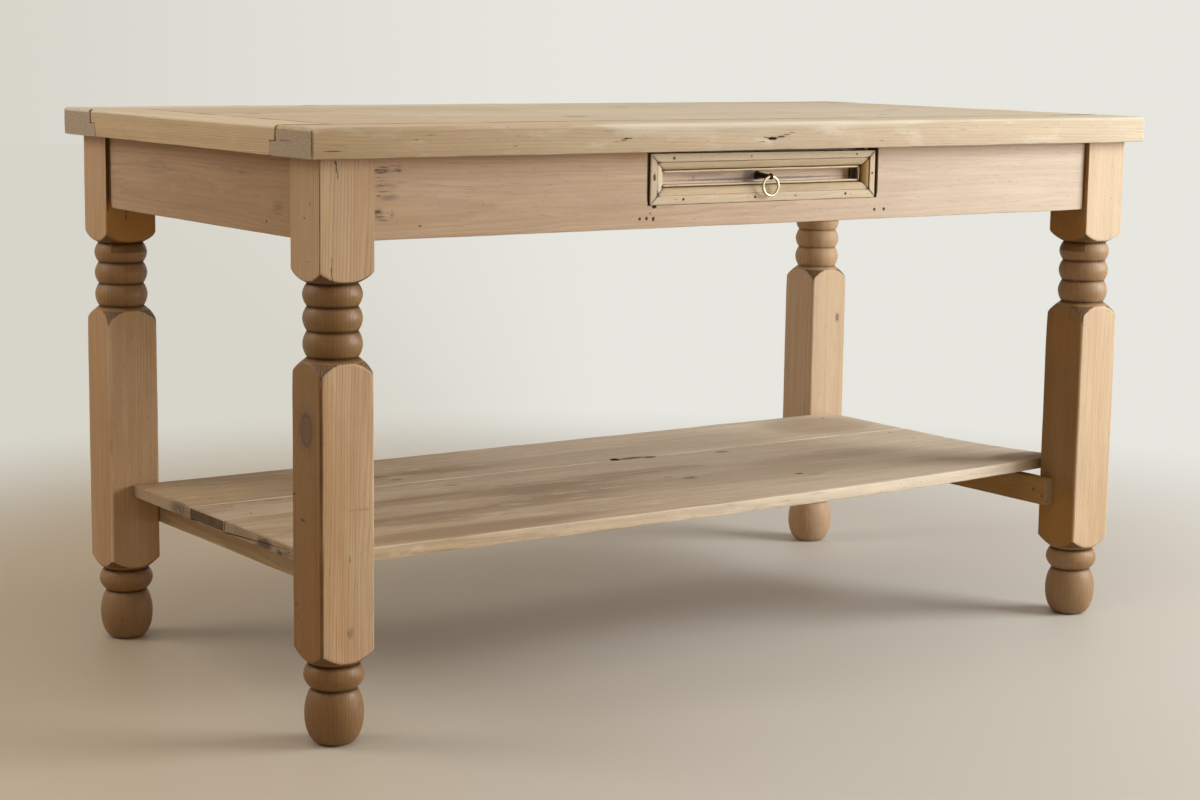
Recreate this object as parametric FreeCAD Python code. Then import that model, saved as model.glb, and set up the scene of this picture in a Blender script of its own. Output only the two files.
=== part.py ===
import FreeCAD, Part
import math
import os

# A farmhouse table of old pine: turned legs, one drawer, and a low shelf on two rails.
# X runs along the table, Y from the drawer's side to the back, Z up, all in millimetres.
# The origin is on the floor, below the middle of the top.

# Overall sizes
table_length = 1400.0
table_width = 740.0
table_height = 762.0
top_overhang = 20.0
overrun = 4.0
same_place = 0.01

# Tabletop: two long boards, two end rails lapped between them, and thinner boards in bays
top_thickness = 38.0
top_corner_radius = 15.0
top_upper_arris = 5.0
top_lower_arris = 1.5
long_board_width = 110.0
end_rail_width = 75.0
lap_width = 18.0
lap_height = 19.0
cross_strip_width = 12.0
bearer_width = 80.0
cross_strip_shares = (0.176, 0.415, 0.704)
infill_seam_shares = ((0.34, 0.68), (0.30, 0.66), (0.36, 0.70), (0.33, 0.64))

# Turned legs: a square block, three beads, a long square block, a ring and a ball foot
leg_square = 75.0
upper_block_height = 130.5
upper_pommel_height = 20.5
neck_radius = 30.5
bead_heights = (28.0, 30.0, 32.0)
bead_radius = 36.8
groove_radius = 31.2
lower_pommel_height = 19.5
trimmed_corner_radius = 50.3
trimmed_corner_height = 86.0
bottom_pommel_height = 22.0
bottom_neck_radius = 30.5
ring_height = 31.5
ring_radius = 38.0
foot_height = 70.5
foot_radius = 37.2
ankle_radius = 28.0
foot_rest_radius = 18.5
foot_crest_share = 0.54
ring_crest_share = 0.52
ankle_lift_share = 0.22
waist_lift_share = 0.43
shoulder_lift_share = 0.2
bead_lift_share = 0.43
upper_pommel_lift_share = 0.5
lower_pommel_lift_share = 0.75
bottom_pommel_lift_share = 0.85
round_share = 0.5523
clear_share = 1.02

# Aprons under the top, tenoned into the legs
apron_height = 100.0
apron_thickness = 22.0
apron_setback = 7.0
tenon_length = 30.0
tenon_thickness = 10.0
tenon_shoulder = 10.0
tenon_fit = 0.1
mortise_spare = 1.0
shrinkage_gap = 2.5

# Drawer opening in the front apron, and the chip at its lower left corner
opening_width = 393.0
opening_height = 70.0
chip_width = 7.0
chip_height = 2.5
chip_depth = 9.0
chip_inset = 7.5

# Turn-buttons that hold the top down, each with one screw
button_length = 42.0
button_width = 32.0
button_thickness = 16.0
button_tongue_length = 7.0
button_tongue_height = 8.0
button_fit = 0.2
button_place_share = 0.33
button_screw_share = 0.57
button_screw_length = 30.0
screw_radius = 2.0
screw_head_radius = 4.0
screw_head_height = 2.4

# Drawer slides: runners housed in the aprons, guides on them, and a stop at the back
runner_width = 55.0
runner_height = 25.0
runner_underlap = 24.0
runner_housing = 6.0
guide_gap = 1.0
guide_height = 24.0
stop_length = 15.0
stop_width = 18.0
stop_height = 14.0
slide_gap = 0.3

# Drawer box
drawer_side_gap = 3.5
drawer_top_gap = 2.5
drawer_length = 450.0
drawer_front_thickness = 16.0
drawer_side_thickness = 12.0
drawer_back_thickness = 12.0
drawer_side_drop = 6.0
side_lap = 8.0
drawer_bottom_thickness = 6.0
drawer_bottom_rise = 8.0
bottom_groove_depth = 5.0
bottom_fit = 0.1

# Mitred moulding round the drawer's front
moulding_width = 25.5
moulding_depth = 24.0
moulding_proud = 1.0
moulding_flat = 11.5
moulding_quirk = 0.8
moulding_ovolo_width = 10.0
moulding_ovolo_depth = 5.2
moulding_bead_radius = 1.4
moulding_bead_depth = 9.0

# Ring pull: a round plate, a stem that ends in an eye, a nut inside, and the ring
pull_off_centre = 2.0
ring_stand_off = 6.0
ring_wire_radius = 1.3
ring_mean_radius = 12.9
eye_wire_radius = 1.4
eye_fit = 0.35
stem_radius = 2.0
stem_fit = 0.05
stem_tail = 1.0
rosette_radius = 6.5
rosette_thickness = 1.6
rosette_rim_share = 0.8
nut_radius = 4.5
nut_thickness = 3.5

# Shelf of three boards, on a rail between each end's pair of legs
shelf_height = 230.0
shelf_thickness = 18.0
shelf_reach = 43.0
shelf_side_gap = 3.0
shelf_back_board_width = 188.0
shelf_middle_board_width = 104.0
shelf_seam = 1.0
shelf_rail_thickness = 16.0
shelf_rail_height = 42.0
shelf_rail_lap = 31.0

# Nails
nail_fit = 0.05
nail_head_height = 1.0
board_nail_radius = 1.5
board_nail_head_radius = 3.0
board_nail_length = 34.0
brad_radius = 0.8
brad_head_radius = 1.5
brad_length = 33.0
box_nail_length = 26.0
moulding_nail_inset = 6.5
runner_nail_rise = 8.5
board_nail_end_share = 0.22
top_brad_shares = (-0.40, -0.07, 0.41)
bottom_brad_shares = (-0.36, -0.05, 0.13, 0.36)
left_runner_nail_shares = (0.32, 0.52, 0.72)
right_runner_nail_shares = (0.44, 0.76)
rail_nail_shares = ((0.16, 0.48), (0.74, 0.66))
bottom_nail_shares = (-0.38, 0.0, 0.38)
side_nail_shares = (0.30, 0.75)

# Places that follow from the sizes
half_length = table_length / 2
half_width = table_width / 2
top_underside = table_height - top_thickness
lap_top = top_underside + lap_height
long_board_inside = half_width - long_board_width
field_y = long_board_inside + lap_width
field_x = half_length - end_rail_width
leg_face_x = half_length - top_overhang
leg_face_y = half_width - top_overhang
leg_x = leg_face_x - leg_square / 2
leg_y = leg_face_y - leg_square / 2
leg_inside_x = leg_face_x - leg_square
leg_inside_y = leg_face_y - leg_square
apron_face_x = leg_face_x - apron_setback
apron_face_y = leg_face_y - apron_setback
apron_inside_y = apron_face_y - apron_thickness
apron_bottom = top_underside - apron_height
tenon_bottom = apron_bottom + tenon_shoulder
tenon_top = top_underside - tenon_shoulder
opening_bottom = top_underside - opening_height
drawer_half_width = opening_width / 2 - drawer_side_gap
drawer_bottom_edge = opening_bottom + slide_gap
drawer_top_edge = top_underside - drawer_top_gap
drawer_middle_z = (drawer_bottom_edge + drawer_top_edge) / 2
drawer_half_height = (drawer_top_edge - drawer_bottom_edge) / 2
drawer_face_y = -apron_face_y - moulding_proud
panel_face_y = drawer_face_y + moulding_depth
panel_inside_y = panel_face_y + drawer_front_thickness
drawer_rear_y = drawer_face_y + drawer_length
side_inside_x = drawer_half_width - drawer_side_thickness
side_top_z = drawer_top_edge - drawer_side_drop
tray_bottom_z = drawer_bottom_edge + drawer_bottom_rise
tray_top_z = tray_bottom_z + drawer_bottom_thickness
runner_inside_x = drawer_half_width - runner_underlap
shelf_underside = shelf_height - shelf_thickness
shelf_half_length = leg_inside_x + shelf_reach
shelf_half_width = leg_inside_y - shelf_side_gap
rail_inside_x = leg_inside_x - shelf_rail_thickness
rail_half_length = leg_inside_y + shelf_rail_lap
eye_radius = ring_wire_radius + eye_fit + eye_wire_radius
eye_y = drawer_face_y - ring_stand_off

UP = FreeCAD.Vector(0, 0, 1)
DOWN = FreeCAD.Vector(0, 0, -1)
BACKWARD = FreeCAD.Vector(0, 1, 0)
RIGHT = FreeCAD.Vector(1, 0, 0)
LEFT = FreeCAD.Vector(-1, 0, 0)
ORIGIN = FreeCAD.Vector(0, 0, 0)


def span(x0, x1, y0, y1, z0, z1):
    """A box between two opposite corners, given as pairs along X, Y and Z."""
    corner = FreeCAD.Vector(min(x0, x1), min(y0, y1), min(z0, z1))
    return Part.makeBox(abs(x1 - x0), abs(y1 - y0), abs(z1 - z0), corner)


def polygon_face(points):
    """A flat face inside straight edges through the points."""
    return Part.Face(Part.makePolygon(points + [points[0]]))


def line(start, end):
    return Part.LineSegment(start, end).toShape()


def arc(start, middle, end):
    return Part.Arc(start, middle, end).toShape()


def aimed(shape, place, direction):
    """A shape drawn pointing down from the origin, moved to a place and turned to point that way."""
    moved = shape.copy()
    moved.Placement = FreeCAD.Placement(place, FreeCAD.Rotation(DOWN, direction))
    return moved


def spun(shape, degrees):
    """A shape turned about the upright axis through the origin."""
    turned = shape.copy()
    turned.rotate(ORIGIN, UP, degrees)
    return turned


def nail(radius, head_radius, length, ease):
    """A flat-headed nail pointing down from the origin; ease widens it to make its hole."""
    head = Part.makeCylinder(head_radius + ease, nail_head_height + ease, ORIGIN, DOWN)
    shank = Part.makeCylinder(radius + ease, length + ease, ORIGIN, DOWN)
    return head.fuse(shank).removeSplitter()


def board_nail(ease):
    return nail(board_nail_radius, board_nail_head_radius, board_nail_length, ease)


def brad(length, ease):
    return nail(brad_radius, brad_head_radius, length, ease)


def button_screw(ease):
    """A countersunk wood screw pointing down from the origin."""
    head = Part.makeCone(screw_head_radius + ease, screw_radius + ease, screw_head_height, ORIGIN, DOWN)
    shank = Part.makeCylinder(screw_radius + ease, button_screw_length + ease, ORIGIN, DOWN)
    return head.fuse(shank).removeSplitter()


def at_each(shape, places):
    """Copies of a shape at each place and direction."""
    return [aimed(shape, place, direction) for place, direction in places]


# Tabletop


def top_outline():
    """The whole top as one slab with rounded corners and worn arrises, to trim its boards."""
    slab = span(-half_length, half_length, -half_width, half_width, top_underside, table_height)
    uprights = [edge for edge in slab.Edges if abs(edge.tangentAt(edge.FirstParameter).z) > same_place]
    slab = slab.makeFillet(top_corner_radius, uprights)
    slab = slab.makeFillet(top_upper_arris, edges_at(slab, table_height))
    return slab.makeFillet(top_lower_arris, edges_at(slab, top_underside))


def edges_at(shape, height):
    """The edges that lie at one height."""
    return [
        edge for edge in shape.Edges
        if max(abs(edge.BoundBox.ZMin - height), abs(edge.BoundBox.ZMax - height)) < same_place
    ]


def long_board(side):
    """A board along the table with a lip below its inner edge; side is -1 at the front."""
    board = span(-half_length, half_length, side * half_width, side * long_board_inside,
                 top_underside, table_height)
    rebate = span(-half_length - overrun, half_length + overrun, side * field_y,
                  side * (long_board_inside - overrun), lap_top, table_height + overrun)
    return board.cut(rebate)


def end_rail(side):
    """A rail across one end, lapped over the long boards' lips and lipped for the bay boards."""
    inside = field_x - lap_width
    rail = span(side * half_length, side * inside, -field_y, field_y, top_underside, table_height)
    rebate = span(side * field_x, side * (inside - overrun), -field_y - overrun, field_y + overrun,
                  lap_top, table_height + overrun)
    laps = [
        span(side * (half_length + overrun), side * (inside - overrun), y_side * long_board_inside,
             y_side * (field_y + overrun), top_underside - overrun, lap_top)
        for y_side in (-1, 1)
    ]
    return rail.cut([rebate] + laps)


def strip_places():
    """The X of each cross strip, along the field between the end rails."""
    return [field_x * (2 * share - 1) for share in cross_strip_shares]


def tabletop():
    """Every board of the top, by name."""
    outline = top_outline()
    boards = {
        "top_board_front": long_board(-1).common(outline),
        "top_board_back": long_board(1).common(outline),
        "top_end_rail_left": end_rail(-1).common(outline),
        "top_end_rail_right": end_rail(1).common(outline),
    }
    places = strip_places()
    for number, x in enumerate(places, 1):
        strip_half = cross_strip_width / 2
        bearer_half = bearer_width / 2
        boards["cross_strip_%d" % number] = span(
            x - strip_half, x + strip_half, -field_y, field_y, lap_top, table_height)
        boards["top_bearer_%d" % number] = span(
            x - bearer_half, x + bearer_half, -long_board_inside, long_board_inside, top_underside, lap_top)
    starts = [-field_x] + [x + cross_strip_width / 2 for x in places]
    ends = [x - cross_strip_width / 2 for x in places] + [field_x]
    for bay, seams in enumerate(infill_seam_shares):
        edges = [-field_y] + [field_y * (2 * share - 1) for share in seams] + [field_y]
        for row, name in enumerate(("front", "middle", "back")):
            boards["infill_bay%d_%s" % (bay + 1, name)] = span(
                starts[bay], ends[bay], edges[row], edges[row + 1], lap_top, table_height)
    return boards


# Legs


def at(radius, height):
    """A point of a leg's half outline."""
    return FreeCAD.Vector(radius, 0, height)


def lifted(corner, crest, share):
    """A corner point moved up or down to its crest by a share, which makes the round shallower."""
    return corner + (crest - corner) * share


def quarter(start, corner, end):
    """A round that leaves its start towards the corner point and ends coming from it."""
    curve = Part.BezierCurve()
    curve.setPoles([start, start + (corner - start) * round_share, end + (corner - end) * round_share, end])
    return curve.toShape()


def foot():
    """The turned foot, from the floor up: a ball and a ring that meet in a notch at the ankle."""
    crest = at(foot_radius, foot_crest_share * foot_height)
    ankle = at(ankle_radius, foot_height)
    ring_crest = at(ring_radius, foot_height + ring_crest_share * ring_height)
    neck = at(bottom_neck_radius, foot_height + ring_height)
    rest = at(foot_rest_radius, 0)
    edges = [
        line(at(0, 0), rest),
        quarter(rest, at(foot_radius, 0), crest),
        quarter(crest, lifted(at(foot_radius, foot_height), crest, ankle_lift_share), ankle),
        quarter(ankle, lifted(at(ring_radius, foot_height), ring_crest, waist_lift_share), ring_crest),
        quarter(ring_crest, lifted(at(ring_radius, neck.z), ring_crest, shoulder_lift_share), neck),
        line(neck, at(0, neck.z)),
        line(at(0, neck.z), at(0, 0)),
    ]
    return Part.Face(Part.Wire(edges)).revolve(ORIGIN, UP, 360)


def post():
    """The leg above its foot: a square post trimmed to its turned outline."""
    corner = clear_share * leg_square / math.sqrt(2)
    bottom = foot_height + ring_height
    block_bottom = bottom + bottom_pommel_height
    upper_block = top_underside - upper_block_height
    upper_neck = upper_block - upper_pommel_height
    block_neck = upper_neck - sum(bead_heights)
    block_top = block_neck - lower_pommel_height
    bottom_corner = at(corner, block_bottom)
    trimmed_corner = at(trimmed_corner_radius, block_top)
    upper_corner = at(corner, upper_block)
    edges = [
        line(at(0, bottom), at(bottom_neck_radius, bottom)),
        quarter(at(bottom_neck_radius, bottom),
                lifted(at(corner, bottom), bottom_corner, bottom_pommel_lift_share), bottom_corner),
        line(bottom_corner, at(corner, block_top - trimmed_corner_height)),
        line(at(corner, block_top - trimmed_corner_height), trimmed_corner),
        quarter(trimmed_corner,
                lifted(at(trimmed_corner_radius, block_neck), trimmed_corner, lower_pommel_lift_share),
                at(groove_radius, block_neck)),
    ]
    level = block_neck
    for height in reversed(bead_heights):
        crest = at(bead_radius, level + height / 2)
        low = lifted(at(bead_radius, level), crest, bead_lift_share)
        edges.append(quarter(at(groove_radius, level), low, crest))
        level += height
        high = lifted(at(bead_radius, level), crest, bead_lift_share)
        edges.append(quarter(crest, high, at(groove_radius, level)))
    edges += [
        line(at(groove_radius, upper_neck), at(neck_radius, upper_neck)),
        quarter(at(neck_radius, upper_neck),
                lifted(at(corner, upper_neck), upper_corner, upper_pommel_lift_share), upper_corner),
        line(upper_corner, at(corner, top_underside)),
        line(at(corner, top_underside), at(0, top_underside)),
        line(at(0, top_underside), at(0, bottom)),
    ]
    turned = Part.Face(Part.Wire(edges)).revolve(ORIGIN, UP, 360)
    half = leg_square / 2
    return span(-half, half, -half, half, bottom - overrun, top_underside + overrun).common(turned)


def mortises(x_side, y_side):
    """The two slots in a leg for its aprons' tenons."""
    half = tenon_thickness / 2 + tenon_fit
    middle_x = apron_face_x - apron_thickness / 2
    middle_y = apron_face_y - apron_thickness / 2
    depth = tenon_length + mortise_spare
    low = tenon_bottom - tenon_fit
    high = tenon_top + tenon_fit
    along = span(x_side * (leg_inside_x - overrun), x_side * (leg_inside_x + depth),
                 y_side * (middle_y - half), y_side * (middle_y + half), low, high)
    across = span(x_side * (middle_x - half), x_side * (middle_x + half),
                  y_side * (leg_inside_y - overrun), y_side * (leg_inside_y + depth), low, high)
    return [along, across]


def legs(holes):
    """Four legs by name, drilled for the nails of the shelf rails."""
    blank = post().fuse(foot())
    made = {}
    for y_name, y_side in (("front", -1), ("back", 1)):
        for x_name, x_side in (("left", -1), ("right", 1)):
            leg = blank.translated(FreeCAD.Vector(x_side * leg_x, y_side * leg_y, 0))
            made["leg_%s_%s" % (y_name, x_name)] = leg.cut(mortises(x_side, y_side) + holes)
    return made


# Aprons, drawn along X with the outer face at y = 0, then carried round to their side


def apron_sides():
    """Each side's turn, half the gap between its legs, distance of its face, and shoulder gaps."""
    return {
        "front": (0, leg_inside_x, apron_face_y, 0, shrinkage_gap),
        "right": (90, leg_inside_y, apron_face_x, 0, 0),
        "back": (180, leg_inside_x, apron_face_y, 0, 0),
        "left": (270, leg_inside_y, apron_face_x, shrinkage_gap, 0),
    }


def carried(shape, turn, distance):
    """A shape drawn behind y = 0, moved out to a side and turned to face it."""
    return spun(shape.translated(FreeCAD.Vector(0, -distance, 0)), turn)


def apron_board(half_span, low_gap, high_gap):
    """An apron with a tenon at each end and a slot in its inner face for each turn-button."""
    body = span(-half_span + low_gap, half_span - high_gap, 0, apron_thickness, apron_bottom, top_underside)
    reach = half_span + tenon_length
    cheek = (apron_thickness - tenon_thickness) / 2
    tenon = span(-reach, reach, cheek, apron_thickness - cheek, tenon_bottom, tenon_top)
    slots = [
        span(x - button_width / 2 - button_fit, x + button_width / 2 + button_fit,
             apron_thickness - button_tongue_length - button_fit, apron_thickness + overrun,
             top_underside - button_thickness - button_fit,
             top_underside - button_thickness + button_tongue_height + button_fit)
        for x in button_places(half_span)
    ]
    return body.fuse(tenon).removeSplitter().cut(slots)


def button_places(half_span):
    return [side * 2 * button_place_share * half_span for side in (-1, 1)]


def button(x):
    """A turn-button behind an apron: a block under the top with a tongue in the apron's slot."""
    low = top_underside - button_thickness
    half = button_width / 2
    block = span(x - half, x + half, apron_thickness, apron_thickness + button_length, low, top_underside)
    tongue = span(x - half, x + half, apron_thickness - button_tongue_length, apron_thickness,
                  low, low + button_tongue_height)
    return block.fuse(tongue).removeSplitter()


def button_screw_place(x):
    y = apron_thickness + button_screw_share * button_length
    return FreeCAD.Vector(x, y, top_underside - button_thickness)


def drawer_opening():
    """What is cut from the front apron: the opening up to the top, and the chip below it."""
    half = opening_width / 2
    opening = span(-half, half, -overrun, apron_thickness + overrun,
                   opening_bottom, top_underside + overrun)
    chip_x = -half + chip_inset
    chip = span(chip_x, chip_x + chip_width, -overrun, chip_depth, opening_bottom - chip_height,
                opening_bottom + overrun)
    return [opening, chip]


def runner_housings():
    """Where the runners' ends are let into the inner face of the front or back apron."""
    return [
        span(side * runner_inside_x, side * (runner_inside_x + runner_width),
             apron_thickness - runner_housing, apron_thickness + overrun,
             opening_bottom - runner_height, opening_bottom)
        for side in (-1, 1)
    ]


def runner_nail_places():
    """Nails through the front and back aprons into the runners' ends."""
    places = []
    z = opening_bottom - runner_height + runner_nail_rise
    for side, shares in ((-1, left_runner_nail_shares), (1, right_runner_nail_shares)):
        for share in shares:
            x = side * (runner_inside_x + share * runner_width)
            places.append((FreeCAD.Vector(x, -apron_face_y, z), BACKWARD))
            places.append((FreeCAD.Vector(x, apron_face_y, z), -BACKWARD))
    return places


# Drawer slides


def slides():
    """Runners, guides and stops between the front and back aprons, by name."""
    made = {}
    stops = []
    for name, side in (("left", -1), ("right", 1)):
        outside = runner_inside_x + runner_width
        reach = apron_inside_y + runner_housing
        made["drawer_runner_" + name] = span(
            side * runner_inside_x, side * outside, -reach, reach, opening_bottom - runner_height,
            opening_bottom)
        made["drawer_guide_" + name] = span(
            side * (drawer_half_width + guide_gap), side * outside, -apron_inside_y, apron_inside_y,
            opening_bottom, opening_bottom + guide_height)
        stop_y = drawer_rear_y + slide_gap
        stops.append(span(side * drawer_half_width, side * (drawer_half_width - stop_width),
                          stop_y, stop_y + stop_length, opening_bottom, opening_bottom + stop_height))
    made["drawer_stops"] = Part.makeCompound(stops)
    return made


# Drawer


def moulding_section():
    """The moulding's section, with its outer edge at y = z = 0, running down and backward."""
    def at(inward, deep):
        return FreeCAD.Vector(0, deep, -inward)

    quirk = at(moulding_flat, moulding_quirk)
    ovolo_end = at(moulding_flat + moulding_ovolo_width, moulding_quirk + moulding_ovolo_depth)
    bend = math.sqrt(0.5)
    ovolo_middle = at(moulding_flat + bend * moulding_ovolo_width,
                      moulding_quirk + (1 - bend) * moulding_ovolo_depth)
    bead_start = at(moulding_width - 2 * moulding_bead_radius, moulding_bead_depth)
    bead_top = at(moulding_width - moulding_bead_radius, moulding_bead_depth - moulding_bead_radius)
    bead_end = at(moulding_width, moulding_bead_depth)
    fillet_foot = at(moulding_flat + moulding_ovolo_width, moulding_bead_depth)
    edges = [
        line(at(0, 0), at(moulding_flat, 0)),
        line(at(moulding_flat, 0), quirk),
        arc(quirk, ovolo_middle, ovolo_end),
        line(ovolo_end, fillet_foot),
        line(fillet_foot, bead_start),
        arc(bead_start, bead_top, bead_end),
        line(bead_end, at(moulding_width, moulding_depth)),
        line(at(moulding_width, moulding_depth), at(0, moulding_depth)),
        line(at(0, moulding_depth), at(0, 0)),
    ]
    return Part.Face(Part.Wire(edges))


def moulding_piece(half_run, distance, turn):
    """One mitred side of the moulding: half its length, how far out it lies, and its turn."""
    section = moulding_section()
    section.translate(FreeCAD.Vector(-half_run, 0, distance))
    bar = section.extrude(FreeCAD.Vector(2 * half_run, 0, 0))
    mitre = polygon_face([
        FreeCAD.Vector(-half_run, 0, distance),
        FreeCAD.Vector(half_run, 0, distance),
        FreeCAD.Vector(half_run - moulding_width, 0, distance - moulding_width),
        FreeCAD.Vector(-half_run + moulding_width, 0, distance - moulding_width),
    ]).extrude(FreeCAD.Vector(0, moulding_depth, 0))
    piece = bar.common(mitre)
    piece.rotate(ORIGIN, BACKWARD, turn)
    piece.translate(FreeCAD.Vector(0, drawer_face_y, drawer_middle_z))
    return piece


def brad_places():
    """The brads that fix the moulding to the drawer's front board."""
    places = []
    for shares, level in ((top_brad_shares, 1), (bottom_brad_shares, -1)):
        z = drawer_middle_z + level * (drawer_half_height - moulding_nail_inset)
        places += [FreeCAD.Vector(2 * drawer_half_width * share, drawer_face_y, z) for share in shares]
    for side in (-1, 1):
        x = side * (drawer_half_width - moulding_nail_inset)
        places.append(FreeCAD.Vector(x, drawer_face_y, drawer_middle_z))
    return [(place, BACKWARD) for place in places]


def box_nail_places():
    """Nails through the drawer's sides into its front and back, and up through its bottom."""
    places = []
    back_y = drawer_rear_y - drawer_back_thickness / 2
    front_y = panel_inside_y - side_lap / 2
    for side, direction in ((-1, RIGHT), (1, LEFT)):
        for y in (front_y, back_y):
            for share in side_nail_shares:
                z = tray_top_z + share * (side_top_z - tray_top_z)
                places.append((FreeCAD.Vector(side * drawer_half_width, y, z), direction))
    for share in bottom_nail_shares:
        x = 2 * side_inside_x * share
        places.append((FreeCAD.Vector(x, back_y, tray_bottom_z), UP))
    return places


def tray(ease):
    """The drawer's bottom; ease widens it to make the groove that holds it."""
    reach = side_inside_x + bottom_groove_depth + ease
    return span(-reach, reach, panel_inside_y - bottom_groove_depth - ease, drawer_rear_y + ease,
                tray_bottom_z - ease, tray_top_z + ease)


def drawer():
    """The drawer's boards, mouldings and nails, by name."""
    groove = tray(bottom_fit)
    brad_holes = at_each(brad(brad_length, nail_fit), brad_places())
    nail_holes = at_each(brad(box_nail_length, nail_fit), box_nail_places())
    holes = brad_holes + nail_holes
    front = span(-drawer_half_width, drawer_half_width, panel_face_y, panel_inside_y,
                 drawer_bottom_edge, drawer_top_edge)
    side_laps = [
        span(side * side_inside_x, side * (drawer_half_width + overrun), panel_inside_y - side_lap,
             panel_inside_y + overrun, drawer_bottom_edge - overrun, drawer_top_edge + overrun)
        for side in (-1, 1)
    ]
    pull_hole = Part.makeCylinder(stem_radius + stem_fit, drawer_front_thickness + 2 * overrun,
                                  FreeCAD.Vector(pull_off_centre, panel_face_y - overrun, drawer_middle_z),
                                  BACKWARD)
    made = {"drawer_front": front.cut(side_laps + [groove, pull_hole] + holes)}
    runs = (
        ("top", drawer_half_width, drawer_half_height, 0),
        ("right", drawer_half_height, drawer_half_width, 90),
        ("bottom", drawer_half_width, drawer_half_height, 180),
        ("left", drawer_half_height, drawer_half_width, 270),
    )
    for name, half_run, distance, turn in runs:
        made["drawer_moulding_" + name] = moulding_piece(half_run, distance, turn).cut(brad_holes)
    for name, side in (("left", -1), ("right", 1)):
        board = span(side * drawer_half_width, side * side_inside_x, panel_inside_y - side_lap,
                     drawer_rear_y, drawer_bottom_edge, side_top_z)
        made["drawer_side_" + name] = board.cut([groove] + holes)
    back = span(-side_inside_x, side_inside_x, drawer_rear_y - drawer_back_thickness, drawer_rear_y,
                tray_top_z, side_top_z)
    made["drawer_back"] = back.cut(nail_holes)
    made["drawer_bottom"] = tray(0).cut(nail_holes)
    made["moulding_brads"] = Part.makeCompound(at_each(brad(brad_length, 0), brad_places()))
    made["drawer_nails"] = Part.makeCompound(at_each(brad(box_nail_length, 0), box_nail_places()))
    return made


def ring_pull():
    """The pull's plate, stem with its eye, nut and ring, by name."""
    eye = FreeCAD.Vector(pull_off_centre, eye_y, drawer_middle_z)
    tail_y = panel_inside_y + nut_thickness + stem_tail
    stem_start = FreeCAD.Vector(eye.x, eye.y + eye_radius, eye.z)
    stem = Part.makeCylinder(stem_radius, tail_y - stem_start.y, stem_start, BACKWARD)
    loop = Part.makeTorus(eye_radius, eye_wire_radius, eye, RIGHT)
    bore = Part.makeCylinder(stem_radius + stem_fit, tail_y - eye.y, stem_start, BACKWARD)
    plate_place = FreeCAD.Vector(eye.x, panel_face_y - rosette_thickness, eye.z)
    plate = Part.makeCone(rosette_rim_share * rosette_radius, rosette_radius, rosette_thickness,
                          plate_place, BACKWARD)
    corners = [
        FreeCAD.Vector(eye.x + nut_radius * math.cos(math.radians(60 * step)), panel_inside_y,
                       eye.z + nut_radius * math.sin(math.radians(60 * step)))
        for step in range(6)
    ]
    nut = polygon_face(corners).extrude(FreeCAD.Vector(0, nut_thickness, 0))
    ring_middle = FreeCAD.Vector(eye.x, eye.y, eye.z - ring_mean_radius)
    return {
        "pull_stem": stem.fuse(loop).removeSplitter(),
        "pull_rosette": plate.cut(bore),
        "pull_nut": nut.cut(bore),
        "pull_ring": Part.makeTorus(ring_mean_radius, ring_wire_radius, ring_middle, BACKWARD),
    }


# Shelf


def shelf_nail_places():
    """Two nails down through each board into each rail."""
    places = []
    for y0, y1 in shelf_edges().values():
        for share in (board_nail_end_share, 1 - board_nail_end_share):
            for side in (-1, 1):
                x = side * (leg_inside_x - shelf_rail_thickness / 2)
                places.append((FreeCAD.Vector(x, y0 + share * (y1 - y0), shelf_height), DOWN))
    return places


def shelf_edges():
    """The front and back edge of each shelf board."""
    back_seam = shelf_half_width - shelf_back_board_width
    front_seam = back_seam - shelf_seam - shelf_middle_board_width
    return {
        "front": (-shelf_half_width, front_seam - shelf_seam),
        "middle": (front_seam, back_seam - shelf_seam),
        "back": (back_seam, shelf_half_width),
    }


def rail_nail_places():
    """Nails out through each end of a shelf rail into its leg."""
    places = []
    for x_side, direction in ((-1, LEFT), (1, RIGHT)):
        for y_side in (-1, 1):
            for lap_share, height_share in rail_nail_shares:
                y = y_side * (leg_inside_y + lap_share * shelf_rail_lap)
                z = shelf_underside - height_share * shelf_rail_height
                places.append((FreeCAD.Vector(x_side * rail_inside_x, y, z), direction))
    return places


def shelf():
    """The shelf's boards, rails and nails, by name."""
    board_places = shelf_nail_places()
    rail_places = rail_nail_places()
    holes = at_each(board_nail(nail_fit), board_places) + at_each(board_nail(nail_fit), rail_places)
    made = {}
    for name, (y0, y1) in shelf_edges().items():
        board = span(-shelf_half_length, shelf_half_length, y0, y1, shelf_underside, shelf_height)
        made["shelf_board_" + name] = board.cut(holes)
    for name, side in (("left", -1), ("right", 1)):
        rail = span(side * leg_inside_x, side * rail_inside_x, -rail_half_length, rail_half_length,
                    shelf_underside - shelf_rail_height, shelf_underside)
        made["shelf_rail_" + name] = rail.cut(holes)
    made["shelf_nails"] = Part.makeCompound(at_each(board_nail(0), board_places))
    made["shelf_rail_nails"] = Part.makeCompound(at_each(board_nail(0), rail_places))
    return made


# Whole table


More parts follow.
